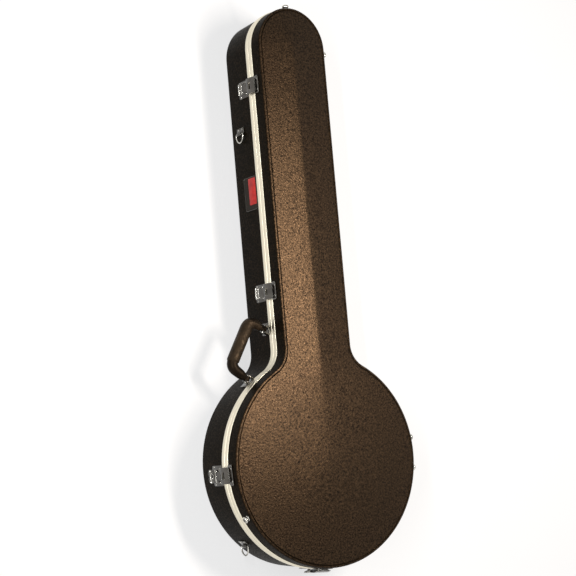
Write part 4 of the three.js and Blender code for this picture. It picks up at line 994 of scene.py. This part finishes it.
def make_handle():
    """Bail with a moulded grip between two smooth arms, its two brackets and its two riveted pins."""
    upper_elbow = UPPER_EYE + OUTWARDS * 36.9 - CHORD * 0.8
    lower_elbow = LOWER_EYE + OUTWARDS * 42.3 - CHORD * 8.7
    path = rounded_path([UPPER_EYE, upper_elbow, lower_elbow, LOWER_EYE], ELBOW_RADIUS, 10)
    dense = []
    for a, b in zip(path, path[1:]):
        steps = max(1, round((b - a).length / 1.5))
        dense += [a.lerp(b, i / steps) for i in range(steps)]
    dense.append(path[-1])
    lengths = [0.0]
    for a, b in zip(dense, dense[1:]):
        lengths.append(lengths[-1] + (b - a).length)
    radii = []
    for s in lengths:
        left = lengths[-1] - s
        radii.append(thickness(UPPER_ARM, s) if s < left else thickness(LOWER_ARM, left))
    bm = bmesh.new()
    keep = [i for i, s in enumerate(lengths) if EYE_START < s < lengths[-1] - EYE_START]
    swept(bm, [dense[i] for i in keep], [radii[i] for i in keep], 28, Vector((0, 0, 1)))
    for eye in (UPPER_EYE, LOWER_EYE):
        eye_bar(bm, rounded_bar(6, -5, 5, 0.8), eye)
    bar = lower_elbow - upper_elbow

    def on_arm(face):
        along = (face.calc_center_median() - upper_elbow).dot(bar.normalized())
        return not 0 < along < bar.length - BAR_END

    # the arms take the darker copy as painted shade
    finish_piece(bm, "handle_grip_moulded", GRIP, "handle", ["handle_grip"], other=(ARM_SHADED, on_arm))

    for side, eye in (("upper", UPPER_EYE), ("lower", LOWER_EYE)):
        softened_copy(f"handle_bracket_{side}", f"handle_bracket_{side}_pressed", 0.25)
        bm = bmesh.new()
        head = [(0, 8.9), (1.8, 8.9), (3.0, 8.5), (3.4, 7.9), (3.4, 7.7), (2, 7.7)]
        eye_bar(bm, [*[(radius, -along) for radius, along in head], *reversed(head)], eye)
        finish_piece(bm, f"handle_pin_{side}_riveted", CHROME, "base", [f"handle_pin_{side}"])


RING_OUT, RING_Z = 4.0, 42.0
WIRE_RADIUS = 1.5


def ring_path(swing):
    """Centre line of a D-ring that stands at an angle from the wall, and the direction across it."""
    half, drop, c = 13.0, 18.0, 3.0
    outline_points = [(0, -half + c), (0, 0), (0, half - c)]
    outline_points += [(c - c * math.cos(a), half - c + c * math.sin(a)) for a in (0.4, 0.8, 1.2)]
    upper = bezier((c, half), (drop * 0.6, half), (drop, half * 0.54), (drop, 0), 9)
    outline_points += upper + [(x, -y) for x, y in reversed(upper[:-1])]
    outline_points += [(c - c * math.cos(a), -half + c - c * math.sin(a)) for a in (1.2, 0.8, 0.4)]
    sine, cosine = math.sin(swing), math.cos(swing)
    points = [Vector((RING_OUT + x * sine, x * cosine, RING_Z + z)) for x, z in outline_points]
    return points, Vector((cosine, -sine, 0))


def bezier(a, b, c, d, steps):
    """Points on a cubic curve in a plane, with both ends."""
    points = []
    for i in range(steps + 1):
        t = i / steps
        w = ((1 - t) ** 3, 3 * t * (1 - t) ** 2, 3 * t * t * (1 - t), t ** 3)
        points.append(tuple(sum(k * p[j] for k, p in zip(w, (a, b, c, d))) for j in (0, 1)))
    return points


def make_strap_fittings():
    """Two clips with D-rings, sunk a little to the wall's own slope."""
    inwards = 0.74
    for name, place, swing in (
        ("neck", neck_frame(673, inwards), 0.0),
        ("body", body_frame(-134, inwards), math.radians(46)),
    ):
        softened_copy(f"strap_clip_{name}", f"strap_clip_{name}_pressed", 0.2)
        bm = bmesh.new()
        path, across = ring_path(swing)
        swept(bm, path, [WIRE_RADIUS] * len(path), 14, across, closed=True)
        node = f"strap_ring_{name}"
        finish_piece(bm, f"{node}_bent", CHROME, f"ring_{name}", [node], place)


STUDS = (
    ("lid_stud_head", "lid", 90, 0, 916), ("lid_stud_neck", "lid", 0, 78, 826),
    ("lid_stud_body_upper", "lid", 8.3, None, None), ("lid_stud_body_lower", "lid", -8.3, None, None),
    ("lid_stud_low", "lid", 207, None, None), ("base_stud_neck", "base", 0, 78, 826),
    ("base_stud_body_upper", "base", 8.3, None, None), ("base_stud_body_lower", "base", -8.3, None, None),
)


def make_studs():
    """Domed feet, turned and plated, each on a thin collar that is sunk to the wall's own slope."""
    profile = [
        (0, 0.4), (5.6, 0.4), (5.8, 0.9), (5.4, 1.5), (5.2, 2.6), (5.6, 3.4), (6.5, 4.1), (6.8, 4.9),
        (6.8, 6.6), (6.4, 7.8), (5.5, 8.7), (4.0, 9.3), (2.0, 9.55), (0, 9.6),
    ]
    for name, body, degrees, x, y in STUDS:
        place = body_frame(degrees) if x is None else wall_frame(x, y, degrees)
        height, sunk = (129.0, 0.67) if body == "lid" else (44.0, 0.87)
        bm = bmesh.new()
        turned(bm, profile, (-sunk, 0, height), "X", 28)
        finish_piece(bm, f"{name}_turned", CHROME, body, [name], place)


def make_name_plate():
    """Blank plate: black, with a dim rim and a raised red panel near its top."""
    place = neck_frame(546, 0.056)
    bm = bmesh.new()
    slab(bm, rectangle((-34, 40.5), (34, 85.5)), "X", 0.4, 1.6, 3)
    bmesh.ops.recalc_face_normals(bm, faces=bm.faces)
    front = [f for f in bm.faces if f.normal.x > 0.9]
    bmesh.ops.inset_region(bm, faces=front, thickness=0.9, depth=0)
    bmesh.ops.inset_region(bm, faces=front, thickness=0.1, depth=-0.35)
    finish_piece(bm, "name_plate_rim", CHROME, "base", ["name_plate"], place)
    bm = bmesh.new()
    slab(bm, rectangle((-32.9, 41.6), (32.9, 84.4)), "X", 1.0, 1.35, 2.1)
    finish_piece(bm, "name_plate_field", LACQUER, "base", (), place)
    bm = bmesh.new()
    slab(bm, rectangle((-31, 57.5), (23, 84)), "X", 1.1, 1.78, 1.8)
    bmesh.ops.recalc_face_normals(bm, faces=bm.faces)
    soften(bm, 0.25, 3, 60)
    finish_piece(bm, "name_plate_panel", ENAMEL, "base", (), place)


make_shells()
make_valances()
make_linings()
make_rests()
make_box()
make_latches()
make_hinges()
make_handle()
make_strap_fittings()
make_studs()
make_name_plate()


# Camera, light and floor

def make_camera():
    """Camera at the photograph's viewing angle."""
    right, up = Vector((0.84619, -0.08568, 0.52595)), Vector((0.02067, 0.99152, 0.12827))
    back = Vector((-0.53249, -0.09767, 0.84079))
    data = bpy.data.cameras.new("camera")
    data.lens = 96.28
    data.sensor_width = 36.0
    data.clip_end = 60.0
    camera = bpy.data.objects.new("camera", data)
    camera.matrix_world = (
        Matrix.Translation((-1.6773, 0.0469, 2.696)) @ Matrix((right, up, back)).transposed().to_4x4()
    )
    bpy.context.scene.collection.objects.link(camera)
    bpy.context.scene.camera = camera


def make_light(name, place, target, size, power, colour):
    data = bpy.data.lights.new(name, "AREA")
    data.shape = "RECTANGLE"
    data.size, data.size_y = size
    data.energy = power
    data.color = linear(colour)[:3]
    lamp = bpy.data.objects.new(name, data)
    lamp.location = place
    lamp.rotation_euler = (Vector(target) - Vector(place)).to_track_quat("-Z", "Y").to_euler()
    bpy.context.scene.collection.objects.link(lamp)


def seen_directly(tree):
    """1 for rays from the camera, from metal and through glass."""
    path = add_node(tree, "ShaderNodeLightPath")
    first = maths(tree, "MAXIMUM", path.outputs["Is Camera Ray"], path.outputs["Is Glossy Ray"])
    return maths(tree, "MAXIMUM", first, path.outputs["Is Transmission Ray"])


def make_floor():
    """Pale paper floor: it keeps the soft shadow, and shows near white where nothing shades it."""
    bm = bmesh.new()
    bmesh.ops.create_grid(bm, x_segments=1, y_segments=1, size=12)
    mesh = bpy.data.meshes.new("floor")
    bm.to_mesh(mesh)
    bm.free()
    finish = bpy.data.materials.new("paper_backdrop_white")
    finish.use_nodes = True
    tree = finish.node_tree
    tree.nodes.clear()
    matt = add_node(tree, "ShaderNodeBsdfDiffuse", {"Color": linear("989899")})
    glow = add_node(tree, "ShaderNodeEmission", {
        "Color": (1, 1, 1, 1), "Strength": maths(tree, "MULTIPLY", seen_directly(tree), 0.67),
    })
    both = add_node(tree, "ShaderNodeAddShader", {0: matt.outputs[0], 1: glow.outputs[0]})
    add_node(tree, "ShaderNodeOutputMaterial", {"Surface": both.outputs[0]})
    mesh.materials.append(finish)
    floor = bpy.data.objects.new("floor", mesh)
    bpy.context.scene.collection.objects.link(floor)


def make_world():
    """Grey studio air for light, and white where it is seen."""
    world = bpy.data.worlds.new("studio")
    bpy.context.scene.world = world
    world.use_nodes = True
    tree = world.node_tree
    tree.nodes.clear()
    light = add_node(tree, "ShaderNodeBackground", {"Color": linear("d9dce0"), "Strength": 0.14})
    white = add_node(tree, "ShaderNodeBackground", {"Color": (1, 1, 1, 1), "Strength": 1.0})
    either = add_node(tree, "ShaderNodeMixShader", {
        0: seen_directly(tree), 1: light.outputs[0], 2: white.outputs[0],
    })
    add_node(tree, "ShaderNodeOutputWorld", {"Surface": either.outputs[0]})


make_camera()
make_light("key", (0.66, 0.52, 1.88), (0.0, 0.34, 0.12), (0.86, 0.2), 40, "fff6ec")
make_light("fill", (-2.2, -0.6, 1.2), (0, 0.3, 0.05), (1.6, 1.2), 5, "ffffff")
make_light("side", (-1.35, 0.45, 1.6), (-0.1, 0.45, 0.08), (1.8, 0.06), 20, "ffffff")
make_floor()
make_world()
bpy.context.scene.view_settings.view_transform = "Standard"

bpy.context.view_layer.update()
